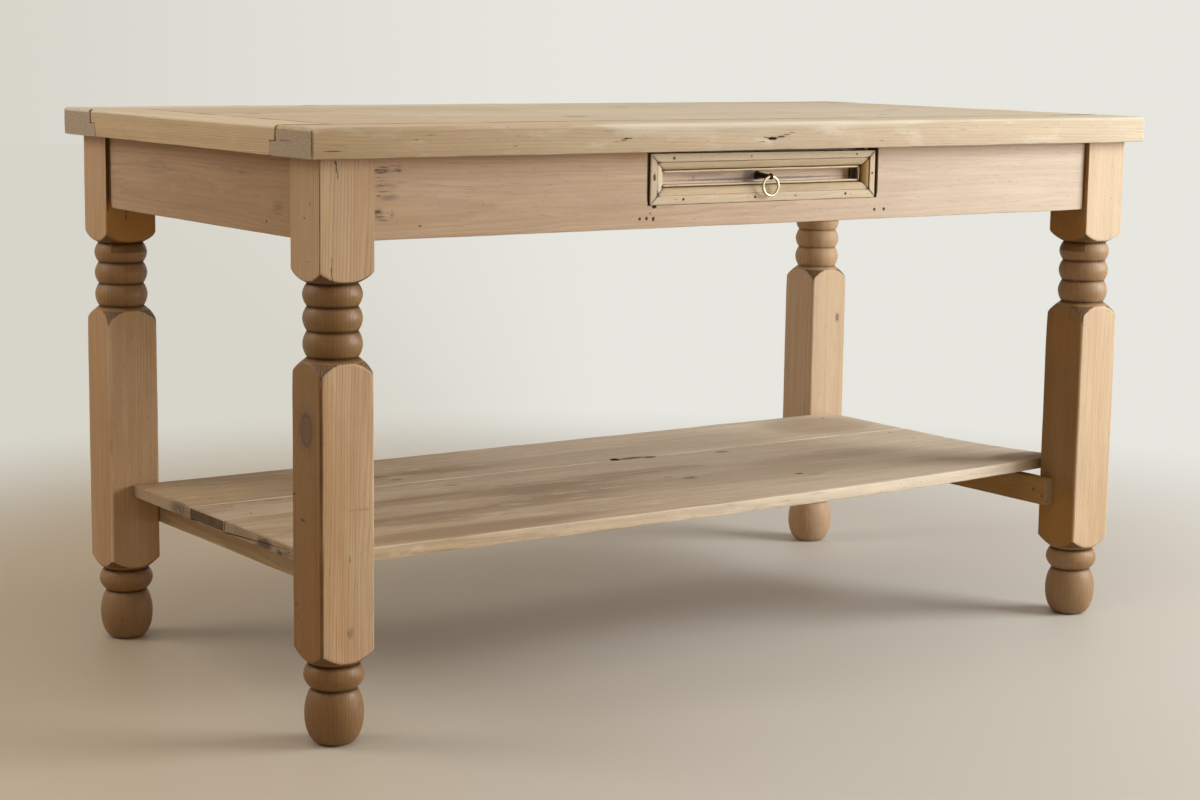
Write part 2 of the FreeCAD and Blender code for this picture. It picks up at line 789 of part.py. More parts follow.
def frame_and_top():
    """Aprons, turn-buttons and their screws, and the top drilled for the screws, by name."""
    made = {}
    buttons = []
    screws = []
    screw_holes = []
    nail_holes = at_each(board_nail(nail_fit), runner_nail_places())
    for name, (turn, half_span, distance, low_gap, high_gap) in apron_sides().items():
        cuts = []
        if name == "front":
            cuts += drawer_opening()
        if name in ("front", "back"):
            cuts += runner_housings()
        board = apron_board(half_span, low_gap, high_gap)
        if cuts:
            board = board.cut(cuts)
        made["apron_" + name] = carried(board, turn, distance).cut(nail_holes)
        for x in button_places(half_span):
            place = button_screw_place(x)
            hole = carried(aimed(button_screw(nail_fit), place, UP), turn, distance)
            screws.append(carried(aimed(button_screw(0), place, UP), turn, distance))
            buttons.append(carried(button(x), turn, distance).cut(hole))
            screw_holes.append(hole)
    made["top_buttons"] = Part.makeCompound([one.Solids[0] for one in buttons])
    made["top_button_screws"] = Part.makeCompound([one.Solids[0] for one in screws])
    made["runner_nails"] = Part.makeCompound(at_each(board_nail(0), runner_nail_places()))
    for name, board in tabletop().items():
        made[name] = board.cut(screw_holes)
    for name, piece in slides().items():
        made[name] = piece.cut(nail_holes) if "runner" in name else piece
    return made


def main():
    nodes = {}
    nodes.update(frame_and_top())
    nodes.update(legs(at_each(board_nail(nail_fit), rail_nail_places())))
    nodes.update(shelf())
    nodes.update(drawer())
    nodes.update(ring_pull())
    os.makedirs("parts", exist_ok=True)
    for name, shape in nodes.items():
        solids = shape.Solids
        whole = solids[0] if len(solids) == 1 else Part.makeCompound(solids)
        whole.exportStep("parts/" + name + ".step")
        found = (name, len(solids), whole.isValid(), whole.Volume)
        print("%-24s solids %2d  valid %s  volume %10.0f" % found)
    print(len(nodes), "nodes")


main()
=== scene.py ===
# %% [markdown]
# # A farmhouse table of old pine
# The table comes in as a fixed model of solid boards, legs and fittings, with a drawer that slides
# and a ring that swings. Here each piece that shows gets a worn, uneven surface worked out with
# numpy, and a pine, iron or brass finish made of shader nodes. The model's own box is kept first,
# and the top's sizes are read from it.

# %% Load the solid model
import math

import bmesh
import bpy
import numpy as np
from mathutils import Matrix, Vector


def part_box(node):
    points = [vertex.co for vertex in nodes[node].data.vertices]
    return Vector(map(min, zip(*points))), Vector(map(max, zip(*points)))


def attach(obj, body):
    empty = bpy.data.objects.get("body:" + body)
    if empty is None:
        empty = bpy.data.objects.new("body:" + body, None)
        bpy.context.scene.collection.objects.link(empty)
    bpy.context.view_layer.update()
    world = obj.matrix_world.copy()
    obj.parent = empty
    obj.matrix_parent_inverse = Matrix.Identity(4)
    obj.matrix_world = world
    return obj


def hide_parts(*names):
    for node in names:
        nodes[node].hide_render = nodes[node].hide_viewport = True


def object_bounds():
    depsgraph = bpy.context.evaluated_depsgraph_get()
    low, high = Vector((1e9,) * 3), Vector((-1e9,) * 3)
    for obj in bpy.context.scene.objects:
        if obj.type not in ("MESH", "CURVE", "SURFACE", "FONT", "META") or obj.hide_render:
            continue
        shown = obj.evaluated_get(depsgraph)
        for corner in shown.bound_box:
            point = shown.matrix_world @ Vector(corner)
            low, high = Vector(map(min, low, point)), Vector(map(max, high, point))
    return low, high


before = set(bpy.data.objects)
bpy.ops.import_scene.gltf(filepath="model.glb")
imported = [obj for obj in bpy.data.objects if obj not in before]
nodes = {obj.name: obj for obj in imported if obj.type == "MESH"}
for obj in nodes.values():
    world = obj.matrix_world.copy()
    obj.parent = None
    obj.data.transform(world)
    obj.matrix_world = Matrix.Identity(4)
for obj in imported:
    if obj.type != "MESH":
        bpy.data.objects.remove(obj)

scene = bpy.context.scene
solid_box = [list(corner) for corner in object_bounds()]
print("solid model:", solid_box)

# %% [markdown]
# ## Where the camera stands
# A photograph has one place from which its straight edges line up. That place was found from the
# edges of the table. Three turns give the camera's axes: yaw round the upright, pitch down, and a
# small roll. The lens follows from the focal length in pixels and the width of the picture.

# %% Camera
picture_width = 1200
film_width = 36
focal_pixels = 2397.3
camera_place = Vector((-2.0264, -2.8594, 0.8773))
yaw, pitch, roll = 0.6100, 0.1527, 0.0133

camera = bpy.data.objects.new("camera", bpy.data.cameras.new("camera"))
camera.data.sensor_width = film_width
camera.data.lens = film_width * focal_pixels / picture_width
ahead = Vector((math.sin(yaw) * math.cos(pitch), math.cos(yaw) * math.cos(pitch), -math.sin(pitch)))
level = Vector((math.cos(yaw), -math.sin(yaw), 0))
upright = level.cross(ahead)
right = math.cos(roll) * level + math.sin(roll) * upright
above = math.cos(roll) * upright - math.sin(roll) * level
turn = Matrix((right, above, -ahead)).transposed().to_4x4()
camera.matrix_world = Matrix.Translation(camera_place) @ turn
scene.collection.objects.link(camera)
scene.camera = camera
scene.view_settings.view_transform = "Standard"
print("lens in mm: %.2f" % camera.data.lens)

# %% [markdown]
# ## Small helpers for shader nodes
# A finish is a tree of nodes. These helpers add one node each and hand back its output, so that a
# finish reads like a recipe: each line takes earlier results and gives a new one.

# %% Node helpers
def blank_material(name):
    """A new material and its tree, with no nodes yet."""
    material = bpy.data.materials.new(name)
    material.use_nodes = True
    material.node_tree.nodes.clear()
    return material, material.node_tree


def add(tree, kind, feeds, output=0, **settings):
    """Adds a node. Each feed goes to an input by its name or number: an output is linked, a value
    is set."""
    node = tree.nodes.new(kind)
    for key, value in settings.items():
        setattr(node, key, value)
    for key, value in feeds.items():
        if isinstance(value, bpy.types.NodeSocket):
            tree.links.new(value, node.inputs[key])
        else:
            node.inputs[key].default_value = value
    return node.outputs[output]


def sum_of(tree, operation, first, second=0.0, clamp=False):
    """One step of arithmetic on two numbers."""
    return add(tree, "ShaderNodeMath", {0: first, 1: second}, operation=operation, use_clamp=clamp)


def plus(tree, first, second, clamp=False):
    """Two numbers added."""
    return sum_of(tree, "ADD", first, second, clamp)


def minus(tree, first, second, clamp=False):
    """The second number taken from the first."""
    return sum_of(tree, "SUBTRACT", first, second, clamp)


def times(tree, first, second):
    """Two numbers multiplied."""
    return sum_of(tree, "MULTIPLY", first, second)


def vector_sum(tree, operation, first, second):
    """One step of arithmetic on two vectors."""
    return add(tree, "ShaderNodeVectorMath", {0: first, 1: second}, operation=operation)


def rise(tree, value, low, high, start=0.0, end=1.0):
    """Goes smoothly from start to end while the value goes from low to high."""
    feeds = {"Value": value, "From Min": low, "From Max": high, "To Min": start, "To Max": end}
    return add(tree, "ShaderNodeMapRange", feeds, interpolation_type="SMOOTHSTEP")


def fall(tree, value, low, high):
    """Goes smoothly from one to nothing while the value goes from low to high."""
    return rise(tree, value, low, high, 1.0, 0.0)


def mixed(tree, share, first, second, way="MIX"):
    """Two colours mixed by a share."""
    feeds = {0: share, 6: first, 7: second}
    return add(tree, "ShaderNodeMix", feeds, output=2, data_type="RGBA", blend_type=way)


def cloud(tree, vector, stretch, detail=3.0, roughness=0.55, output=0):
    """Noise whose lumps are as many to a metre, along each axis, as stretch says; one number stands
    for all three."""
    place = vector_sum(tree, "MULTIPLY", vector, stretch if np.ndim(stretch) else (stretch,) * 3)
    feeds = {"Vector": place, "Scale": 1.0, "Detail": detail, "Roughness": roughness}
    return add(tree, "ShaderNodeTexNoise", feeds, output=output)


def rgb(*shares):
    """A colour with full opacity."""
    return (*shares, 1.0)


def tag(tree, name, output=2):
    """A value that each point of a piece carries: output 2 gives a number, output 1 a vector."""
    return add(tree, "ShaderNodeAttribute", {}, output=output, attribute_name=name)


def object_place(tree):
    """The place on the piece, in metres."""
    return add(tree, "ShaderNodeTexCoord", {}, output=3)


def length_of(tree, vector):
    """How long a vector is."""
    return add(tree, "ShaderNodeVectorMath", {0: vector}, output=1, operation="LENGTH")


def add_output(tree, shader, kind="Material"):
    """The end of a tree: what the surface of a material, or the world, shows."""
    output = tree.nodes.new("ShaderNodeOutput" + kind)
    tree.links.new(shader, output.inputs["Surface"])


print("node helpers ready")

# %% [markdown]
# ## Marks and knots
# Old pine is full of small dark places: nail stains, cracks and knots, and a few painted shadows
# in deep corners. Each is a lengthened ball around a point of the piece, so a crack is a ball
# squeezed thin. The distance from its centre, counted in its own half sizes, says how dark the wood
# is there. A knot also pushes the growth rings aside, as a branch does.

# %% Marks in the wood
MM = 0.001


def distance_from(tree, place, centre, sizes):
    """How far a place is from a centre, counted in the half sizes of a lengthened ball, in mm."""
    away = vector_sum(tree, "SUBTRACT", place, tuple(MM * value for value in centre))
    return length_of(tree, vector_sum(tree, "DIVIDE", away, tuple(MM * value for value in sizes)))


def gathered(tree, masks):
    """The strongest of several masks."""
    strongest = masks[0]
    for mask in masks[1:]:
        strongest = sum_of(tree, "MAXIMUM", strongest, mask)
    return strongest


def mark_mask(tree, place, marks, full=0.55):
    """Full at the middle of each mark, out to a share of its size, and fading out at its rim."""
    return gathered(tree, [
        rise(tree, distance_from(tree, place, centre, sizes), full, 1.15, strength, 0.0)
        for centre, sizes, strength in marks
    ])


def on_face(axis, level, depth, rows):
    """Places on one flat face. Axis and level say which face, and depth how deep the places reach.
    Each row holds where a place is along the face, its half sizes there and its strength, in mm."""
    places = []
    for first, second, first_half, second_half, *strength in rows:
        centre, sizes = [first, second], [first_half, second_half]
        centre.insert(axis, level)
        sizes.insert(axis, depth)
        places.append((centre, sizes, *strength))
    return places


print("marks are given as centre, half sizes and strength")

# %% [markdown]
# ## Pine
# Pine shows its growth rings: pale early wood that darkens slowly into a thin late line, then
# starts again. Every piece carries a coordinate named grain: its first number runs along the
# fibres and the other two are the distances from the tree's heart. The distance from the heart
# divided by a ring's width gives the rings on every face at once, as lines on a side, arches on a
# flat sawn face and arcs on end grain, and it stays true round a corner. Slow noise bends the
# rings, stretched noise draws the fibres, and broad noise stains the wood. Three more values on
# the points say where an edge is rubbed pale or dirty, where the end grain is, and how light the
# whole board is. A picture of wood could be wrapped round each piece instead, but it would show its
# own edges at every corner, and the rings would not run through from one face to the next.

# %% Rings and knots
def centred_cloud(tree, vector, stretch, **settings):
    """Noise of three numbers about nothing, which pushes a place both ways."""
    return vector_sum(tree, "SUBTRACT", cloud(tree, vector, stretch, output=1, **settings), (0.5, 0.5, 0.5))


def bent_grain(tree, grain, wander):
    """The grain pushed across its fibres by slow noise: a wide drift, then a shorter wobble."""
    bent = grain
    for stretch, share in (((2.6, 11.0, 11.0), 2.0), ((15.0, 45.0, 45.0), 0.4)):
        push = centred_cloud(tree, grain, stretch, detail=2.0)
        reach = share * wander
        bent = vector_sum(tree, "ADD", bent, vector_sum(tree, "MULTIPLY", push, (0.0, reach, reach)))
    return bent


def with_knots(tree, place, radius, knots):
    """Each knot pushes the rings aside and is dark itself: a heart with rings of its own, a rim of
    bark and a faint halo. Gives the new distance from the tree's heart and the dark parts."""
    dark = []
    for centre, sizes in knots:
        far = distance_from(tree, place, centre, sizes)
        radius = plus(tree, radius, times(tree, fall(tree, far, 0.2, 3.2), MM * 0.9 * max(sizes)))
        turns = sum_of(tree, "FRACT", times(tree, far, 3.3))
        heart = times(tree, fall(tree, far, 0.85, 1.0), rise(tree, turns, 0.1, 0.9, 0.4, 0.9))
        bark = times(tree, rise(tree, far, 0.75, 0.95), rise(tree, far, 1.0, 1.3, 0.85, 0.0))
        dark += [heart, bark, rise(tree, far, 0.9, 2.3, 0.36, 0.0)]
    return radius, dark


def late_lines(tree, across, radius, ring):
    """The dark end of each growth ring. The distance from the heart, counted in rings, leaves a share
    that runs from 0 to 1 over and over; the line darkens slowly along it and ends at once."""
    uneven = cloud(tree, across, 85.0, detail=1.0)
    turns = plus(tree, sum_of(tree, "DIVIDE", radius, MM * ring), times(tree, uneven, 1.5))
    phase = sum_of(tree, "FRACT", turns)
    return times(tree, rise(tree, phase, 0.25, 0.86), fall(tree, phase, 0.9, 1.0))


print("rings and knots can be drawn")

# %% [markdown]
# ## What a century does to pine
# The finish is built up as the wood was: rings and fibres first, then the bleaching or the old
# polish of the whole board, then what wear and dirt did at its edges, and at last the small dark
# places. The same layers also carry painted light and shade: faces painted paler towards the
# window and darker in shade, painted shade in gaps and grooves, and a few painted shadows. Each
# layer mixes its colour over the one before by a share between 0 and 1. The same shares also say
# where the surface is dull, because dirt doesn't shine.

# %% Pine finish
old_polish_and_shade = rgb(0.60, 0.47, 0.23)
dark_wax = rgb(0.43, 0.33, 0.17)
dirt_and_shade_brown = rgb(0.055, 0.032, 0.016)
smudge_brown = rgb(0.085, 0.058, 0.045)
knot_brown = rgb(0.085, 0.040, 0.018)
nail_and_shadow_black = rgb(0.020, 0.013, 0.009)


def pine(name, early, late, rubbed, ends, stain, ring=4.2, contrast=0.8, fibre=0.45, blotch=0.5,
         wander=0.008, smear=0.15, marks=(), knots=(), stains=(), smudges=(), rough=0.62):
    """A pine finish. Early, late, rubbed, ends and stain are its colours. Ring is a ring's width in mm,
    wander in metres is how far the rings are bent, smear is how far pale patches show, and marks,
    knots, stains and smudges are places on the piece."""
    material, tree = blank_material(name)
    grain = tag(tree, "grain", 1)
    edge, end, tone, waxed = [tag(tree, key) for key in ("edge", "end", "tone", "waxed")]
    spot = object_place(tree)
    jitter = centred_cloud(tree, spot, 420.0)
    loose = vector_sum(tree, "ADD", spot, vector_sum(tree, "MULTIPLY", jitter, (0.0028, 0.0028, 0.0028)))

    # the rings, which also drift a little along the board
    bent = bent_grain(tree, grain, wander)
    across = vector_sum(tree, "MULTIPLY", bent, (0.0, 1.0, 1.0))
    along = add(tree, "ShaderNodeSeparateXYZ", {0: grain})
    radius = plus(tree, length_of(tree, across), times(tree, along, 0.012))
    radius, dark_knots = with_knots(tree, loose, radius, knots)
    late_line = late_lines(tree, across, radius, ring)

    # noise from fine to broad, stretched along the fibres
    streak = cloud(tree, grain, (9.0, 520.0, 520.0), detail=4.0, roughness=0.65)
    dashes = cloud(tree, grain, (38.0, 480.0, 480.0), detail=2.0)
    strength = cloud(tree, bent, (3.0, 210.0, 210.0), detail=1.0)
    band = cloud(tree, grain, (2.4, 115.0, 115.0))
    pale = cloud(tree, grain, (15.0, 55.0, 55.0), detail=4.0)
    patch = cloud(tree, grain, (7.0, 42.0, 42.0))
    broad = cloud(tree, grain, (2.2, 13.0, 13.0), detail=4.0)
    dents = cloud(tree, spot, 260.0, detail=2.0)

    # the wood: late lines and fibres, broad stains, a paler or darker board, and pale patches; the
    # paler board is partly painted light towards the window
    late_share = times(tree, late_line, rise(tree, patch, 0.25, 0.7, 0.3 * contrast, contrast))
    late_share = times(tree, late_share, rise(tree, strength, 0.32, 0.62, 0.4, 1.0))
    late_share = times(tree, late_share, rise(tree, waxed, 0.0, 1.0, 1.0, 0.8))
    late_share = plus(tree, late_share, rise(tree, streak, 0.5, 0.8, 0.0, fibre), clamp=True)
    colour = mixed(tree, late_share, early, late)
    colour = mixed(tree, rise(tree, broad, 0.42, 0.72, 0.0, blotch), colour, stain)
    colour = mixed(tree, rise(tree, tone, 0.0, 2.0, 0.0, 0.6), colour, rubbed)
    colour = mixed(tree, rise(tree, pale, 0.52, 0.75, 0.0, smear), colour, rubbed)
    shade = 1.0
    for noise, weight in ((streak, 0.7 * fibre), (band, 0.9 * fibre), (patch, 0.25)):
        shade = plus(tree, shade, times(tree, minus(tree, noise, 0.5), weight))
    shade = minus(tree, shade, rise(tree, dashes, 0.6, 0.74, 0.0, 0.5 * fibre))
    shade = minus(tree, shade, rise(tree, dents, 0.66, 0.74, 0.0, 0.3))
    grey = add(tree, "ShaderNodeCombineXYZ", {0: shade, 1: shade, 2: shade})
    colour = mixed(tree, 1.0, colour, grey, "MULTIPLY")
    # a low tone darkens towards the old polish colour: old polish, and painted shade on faces in shade; on
    # the legs the wax darkening of the face away from the window is painted shade too
    colour = mixed(tree, fall(tree, tone, -2.0, 0.0), colour, old_polish_and_shade, "MULTIPLY")
    colour = mixed(tree, waxed, colour, dark_wax, "MULTIPLY")

    # the end grain, whose pores show as dots
    pores = cloud(tree, spot, 330.0, roughness=0.75)
    end_colour = mixed(tree, times(tree, late_line, 0.3), ends, late)
    end_colour = mixed(tree, 1.0, end_colour, rise(tree, pores, 0.36, 0.64, 1.14, 0.78), "MULTIPLY")
    colour = mixed(tree, rise(tree, end, 0.25, 0.75), colour, end_colour)

    # edges that are rubbed pale or dirty, with painted shade in gaps and grooves and a painted
    # highlight on some edges, then the small places, a few of them painted shadows
    wear = rise(tree, plus(tree, edge, times(tree, patch, 0.7)), 0.75, 1.35)
    colour = mixed(tree, times(tree, wear, 0.75), colour, rubbed)
    dirt_and_shade = rise(tree, minus(tree, times(tree, patch, 0.5), edge), 0.45, 1.35)
    colour = mixed(tree, times(tree, dirt_and_shade, 0.88), colour, dirt_and_shade_brown)
    dull = times(tree, dirt_and_shade, 0.8)
    if stains:
        colour = mixed(tree, mark_mask(tree, loose, stains), colour, stain)
    if smudges:
        broken = rise(tree, plus(tree, band, dashes), 0.85, 1.15, 0.1, 1.0)
        smudged = times(tree, mark_mask(tree, loose, smudges, 0.1), broken)
        colour = mixed(tree, smudged, colour, smudge_brown)
    if dark_knots:
        colour = mixed(tree, gathered(tree, dark_knots), colour, knot_brown)
    if marks:
        black = mark_mask(tree, loose, marks)
        colour = mixed(tree, black, colour, nail_and_shadow_black)
        dull = sum_of(tree, "MAXIMUM", dull, black)

    # the surface: late lines and fibres stand up, wax is smoother, dirt and wax shine less
    height = plus(tree, times(tree, late_line, 0.45), streak)
    bump = add(tree, "ShaderNodeBump", {"Strength": 0.35, "Distance": 0.0005, "Height": height})
    gloss = minus(tree, plus(tree, rough - 0.08, times(tree, streak, 0.18)), times(tree, waxed, 0.2))
    shine = minus(tree, 0.5, times(tree, dull, 0.48))
    shine = minus(tree, shine, times(tree, waxed, 0.15), clamp=True)
    feeds = {"Base Color": colour, "Roughness": gloss, "Normal": bump, "IOR": 1.45,
             "Specular IOR Level": shine}
    add_output(tree, add(tree, "ShaderNodeBsdfPrincipled", feeds))
    return material


print("pine recipe ready")

# %% [markdown]
# ## Uneven lines
# Nothing on an old table is straight. A sum of a few sine waves, each shorter and weaker than the
# one before, gives a smooth line that never quite repeats. The seed picks the waves' starts, so
# every board is different and every run of this file is the same.

# %% Uneven lines
def ripple(along, seed, longest, waves=5):
    """A smooth uneven value between about -1 and 1: sine waves that shorten by 1.7 and weaken by 0.75."""
    starts = np.random.default_rng(seed).uniform(0, 2 * np.pi, waves)
    steps = np.arange(waves)
    weights = 0.75 ** steps
    angles = 2 * np.pi * np.asarray(along)[..., None] * 1.7 ** steps / longest + starts
    return (np.sin(angles) * weights).sum(-1) / weights.sum()


print("an uneven line:", np.round(ripple(np.linspace(0, 100, 5), 3, 60), 2))

# %% [markdown]
# ## Rounded outlines
# A board is an outline carried along a line. Its sharp corners are replaced by arcs, because a
# corner with no rounding catches no light and looks drawn. Between the arcs the points gather
# towards the corners, where the surface turns, and thin out on the flats.

# %% Outlines
def unit(vectors):
    """The same directions, each of length one."""
    return vectors / np.linalg.norm(vectors, axis=-1, keepdims=True)


def rounded_outline(corners, radii, spacing=9.0, steps=4):
    """An anticlockwise outline with an arc at each corner, and straight runs with gathered points."""
    corners = np.asarray(corners, float)
    back = unit(np.roll(corners, 1, 0) - corners)
    onward = unit(np.roll(corners, -1, 0) - corners)
    half = np.arccos((back * onward).sum(1)) / 2
    radii = np.asarray(radii, float)
    middles = corners + unit(back + onward) * (radii / np.sin(half))[:, None]
    reach = (radii / np.tan(half))[:, None]
    share = np.linspace(0, 1, steps + 1)[:, None, None]
    sweep = (corners + back * reach - middles) * (1 - share)
    sweep = sweep + (corners + onward * reach - middles) * share
    arcs = middles + unit(sweep) * radii[:, None]
    runs = []
    for number in range(len(corners)):
        start = arcs[-1, number]
        end = arcs[0, (number + 1) % len(corners)]
        count = max(int(np.linalg.norm(end - start) / spacing), 3)
        gather = 0.5 - 0.5 * np.cos(np.pi * np.linspace(0, 1, count + 1)[1:-1])
        runs += [arcs[:, number], start + (end - start) * gather[:, None]]
    return np.concatenate(runs)


def outward(outline):
    """The way out of an anticlockwise outline at each point: the way along it, turned to the right."""
    way = unit(np.roll(outline, -1, 0) - np.roll(outline, 1, 0))
    return np.stack([way[:, 1], -way[:, 0]], 1)


def bell(values, reach, place=0.0):
    """One at the place, fading both ways: e to the minus square of the distance over the reach."""
    return np.exp(-((values - place) / reach) ** 2)


def nearness(outline, corners, weights, reach):
    """Each corner's weight, fading with the distance from the corner as a bell curve of that reach."""
    gaps = np.linalg.norm(outline[:, None] - np.asarray(corners, float)[None], axis=2)
    fades = bell(gaps, reach) * np.asarray(weights, float)
    return fades[np.arange(len(outline)), np.abs(fades).argmax(1)]


def stations(start, end, radius, spacing, marks=()):
    """Places along a board, close where its ends are rounded and near marks, and the draw-in at each."""
    near = radius * (1 - np.cos(np.linspace(0, np.pi / 2, 5)))
    middle = np.linspace(start + radius, end - radius, max(int((end - start) / spacing), 3))
    close = [mark + np.linspace(-6, 6, 13) for mark in marks]
    places = np.clip(np.concatenate([start + near, end - near, middle, *close]), start, end)
    places = np.unique(np.round(places, 4))
    inside = np.maximum(radius - np.minimum(places - start, end - places), 0)
    return places, radius - np.sqrt(np.maximum(radius ** 2 - inside ** 2, 0))


def square(low, high):
    """The four corners of a rectangle between two opposite corners, anticlockwise."""
    return [(low[0], low[1]), (high[0], low[1]), (high[0], high[1]), (low[0], high[1])]


print("points in a 100 by 20 outline:", len(rounded_outline(square((0, 0), (100, 20)), [1] * 4)))

# %% [markdown]
# ## From arrays to a piece
# The arrays become a mesh in a few large steps: all points, all corners of faces, all face starts.
# Values on the points go in the same way. Then the normals are turned outwards, and the shading is
# smooth over rounded corners but sharp where faces really meet at an angle.

# %% Make a piece
def tell_points(mesh, key, values):
    """Stores one number or one vector for each point of a mesh, where a material can read it."""
    kind, field = ("FLOAT_VECTOR", "vector") if np.ndim(values) > 1 else ("FLOAT", "value")
    mesh.attributes.new(key, kind, "POINT").data.foreach_set(field, np.asarray(values, float).ravel())


def lay(name, points, quads, caps, body, replaced, material, tags):
    """A piece from points in mm, four-sided faces and flat caps, which stands for the named solids."""
    mesh = bpy.data.meshes.new(name)
    points = np.asarray(points, float).reshape(-1, 3)
    corners = np.concatenate([quads.ravel(), *caps]).astype(np.int32)
    sizes = np.concatenate([np.full(len(quads), 4), [len(cap) for cap in caps]]).astype(np.int32)
    mesh.vertices.add(len(points))
    mesh.vertices.foreach_set("co", (points * MM).ravel())
    mesh.loops.add(len(corners))
    mesh.loops.foreach_set("vertex_index", corners)
    mesh.polygons.add(len(sizes))
    mesh.polygons.foreach_set("loop_start", np.cumsum(sizes) - sizes)
    mesh.update(calc_edges=True)
    for key, values in tags.items():
        tell_points(mesh, key, values)
    return finish_piece(name, mesh, body, replaced, material)


def tube_faces(count, around, closed=False):
    """Four-sided faces between neighbouring rings of points; closed joins the last ring to the first."""
    index = np.arange(count * around).reshape(count, around)
    onward = np.roll(index, -1, axis=0) if closed else index[1:]
    here = index if closed else index[:-1]
    quads = np.stack([here, np.roll(here, -1, 1), np.roll(onward, -1, 1), onward], -1)
    return quads.reshape(-1, 4)


def cap_faces(count, around):
    """The two flat faces that close the first and the last ring of points."""
    return [np.arange(around)[::-1], np.arange(around) + (count - 1) * around]


def lay_wood(name, points, grain, tags, body, replaced, material):
    """A closed wooden piece from rings of points, the grain's three parts there in mm, and other values."""
    count, around = points.shape[:2]
    values = {"grain": np.stack(grain, -1).reshape(-1, 3)}
    values.update({key: value.ravel() for key, value in tags.items()})
    return lay(name, points, tube_faces(count, around), cap_faces(count, around), body, replaced,
               material, values)


def finish_piece(name, mesh, body, replaced, material):
    """Turns the faces outwards, smooths the shading and places the piece on its body."""
    form = bmesh.new()
    form.from_mesh(mesh)
    bmesh.ops.recalc_face_normals(form, faces=form.faces)
    form.to_mesh(mesh)
    form.free()
    mesh.shade_smooth()
    mesh.set_sharp_from_angle(angle=math.radians(38))
    mesh.materials.append(material)
    piece = bpy.data.objects.new(name, mesh)
    scene.collection.objects.link(piece)
    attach(piece, body)
    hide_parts(*replaced)
    return piece


print("faces in a tube of 3 rings of 8 points:", len(tube_faces(3, 8)))

# %% [markdown]
# ## Sizes from the solids
# Every worn piece starts from the box of the solid that it stands for. No size is typed twice, so
# the dressed table can't drift away from the model.

# %% Measures
def measured(node):
    """A solid's lowest and highest corner in mm."""
    return [np.array(corner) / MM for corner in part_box(node)]


print("the shelf's front board spans:", *measured("shelf_board_front"))

# %% [markdown]
# ## Boards
# Every board of the table is made by one function: an outline carried along X or Y. Its ends are
# rounded by drawing the outline in, its edges are worn by an uneven amount, and its faces wave a
# little. One more, smaller ring lies inside each end, so that the end grain starts at the edge and
# not half way along the board. The heart gives where the middle of the tree was.

# %% Boards
end_reach = 2.6
# how dark a strip is painted where it lies in the shade of a gap
painted_gap_shade = -1.6


def worn_section(outline, away, near, places, draw_in, seed, chew, wave):
    """The outline at each place, drawn in by the end's rounding, the edges' wear and the faces' waves."""
    around = np.arange(len(outline)) * 37.0
    wear = 0.5 + 0.5 * ripple(places[:, None] + 0.3 * around, seed, 240.0, 6)
    flat = 0.5 + 0.5 * ripple(places[:, None] + 0.05 * around, seed + 1, 420.0, 4)
    depth = draw_in[:, None] + chew * near * wear + wave * flat
    return outline[None] - away[None] * depth[..., None]


def edge_colour(edge, places, from_end, end, end_edge, spread, soil):
    """How pale or dark each point is near an edge: wider where the spread says so, and end_edge near
    the board's ends. End grain has its own colour, and the soil darkens the lower end."""
    edge = np.tile(edge, (len(places), 1))
    if spread is not None:
        wider = np.maximum(np.interp(places, *spread), 0.05)[:, None]
        rubbed = np.clip(edge, 0.001, None) ** (1 / wider ** 2)
        edge = np.where(edge > 0, rubbed - 0.45 * (edge > 0.3) * np.clip(1 - wider, 0, 1), edge)
    at_end = bell(from_end, end_reach)[:, None] * end_edge
    edge = np.where(np.abs(at_end) > np.abs(edge), at_end, edge)
    edge = np.where(end > 0.9, 0.0, edge)
    edge[:2] -= soil
    return edge


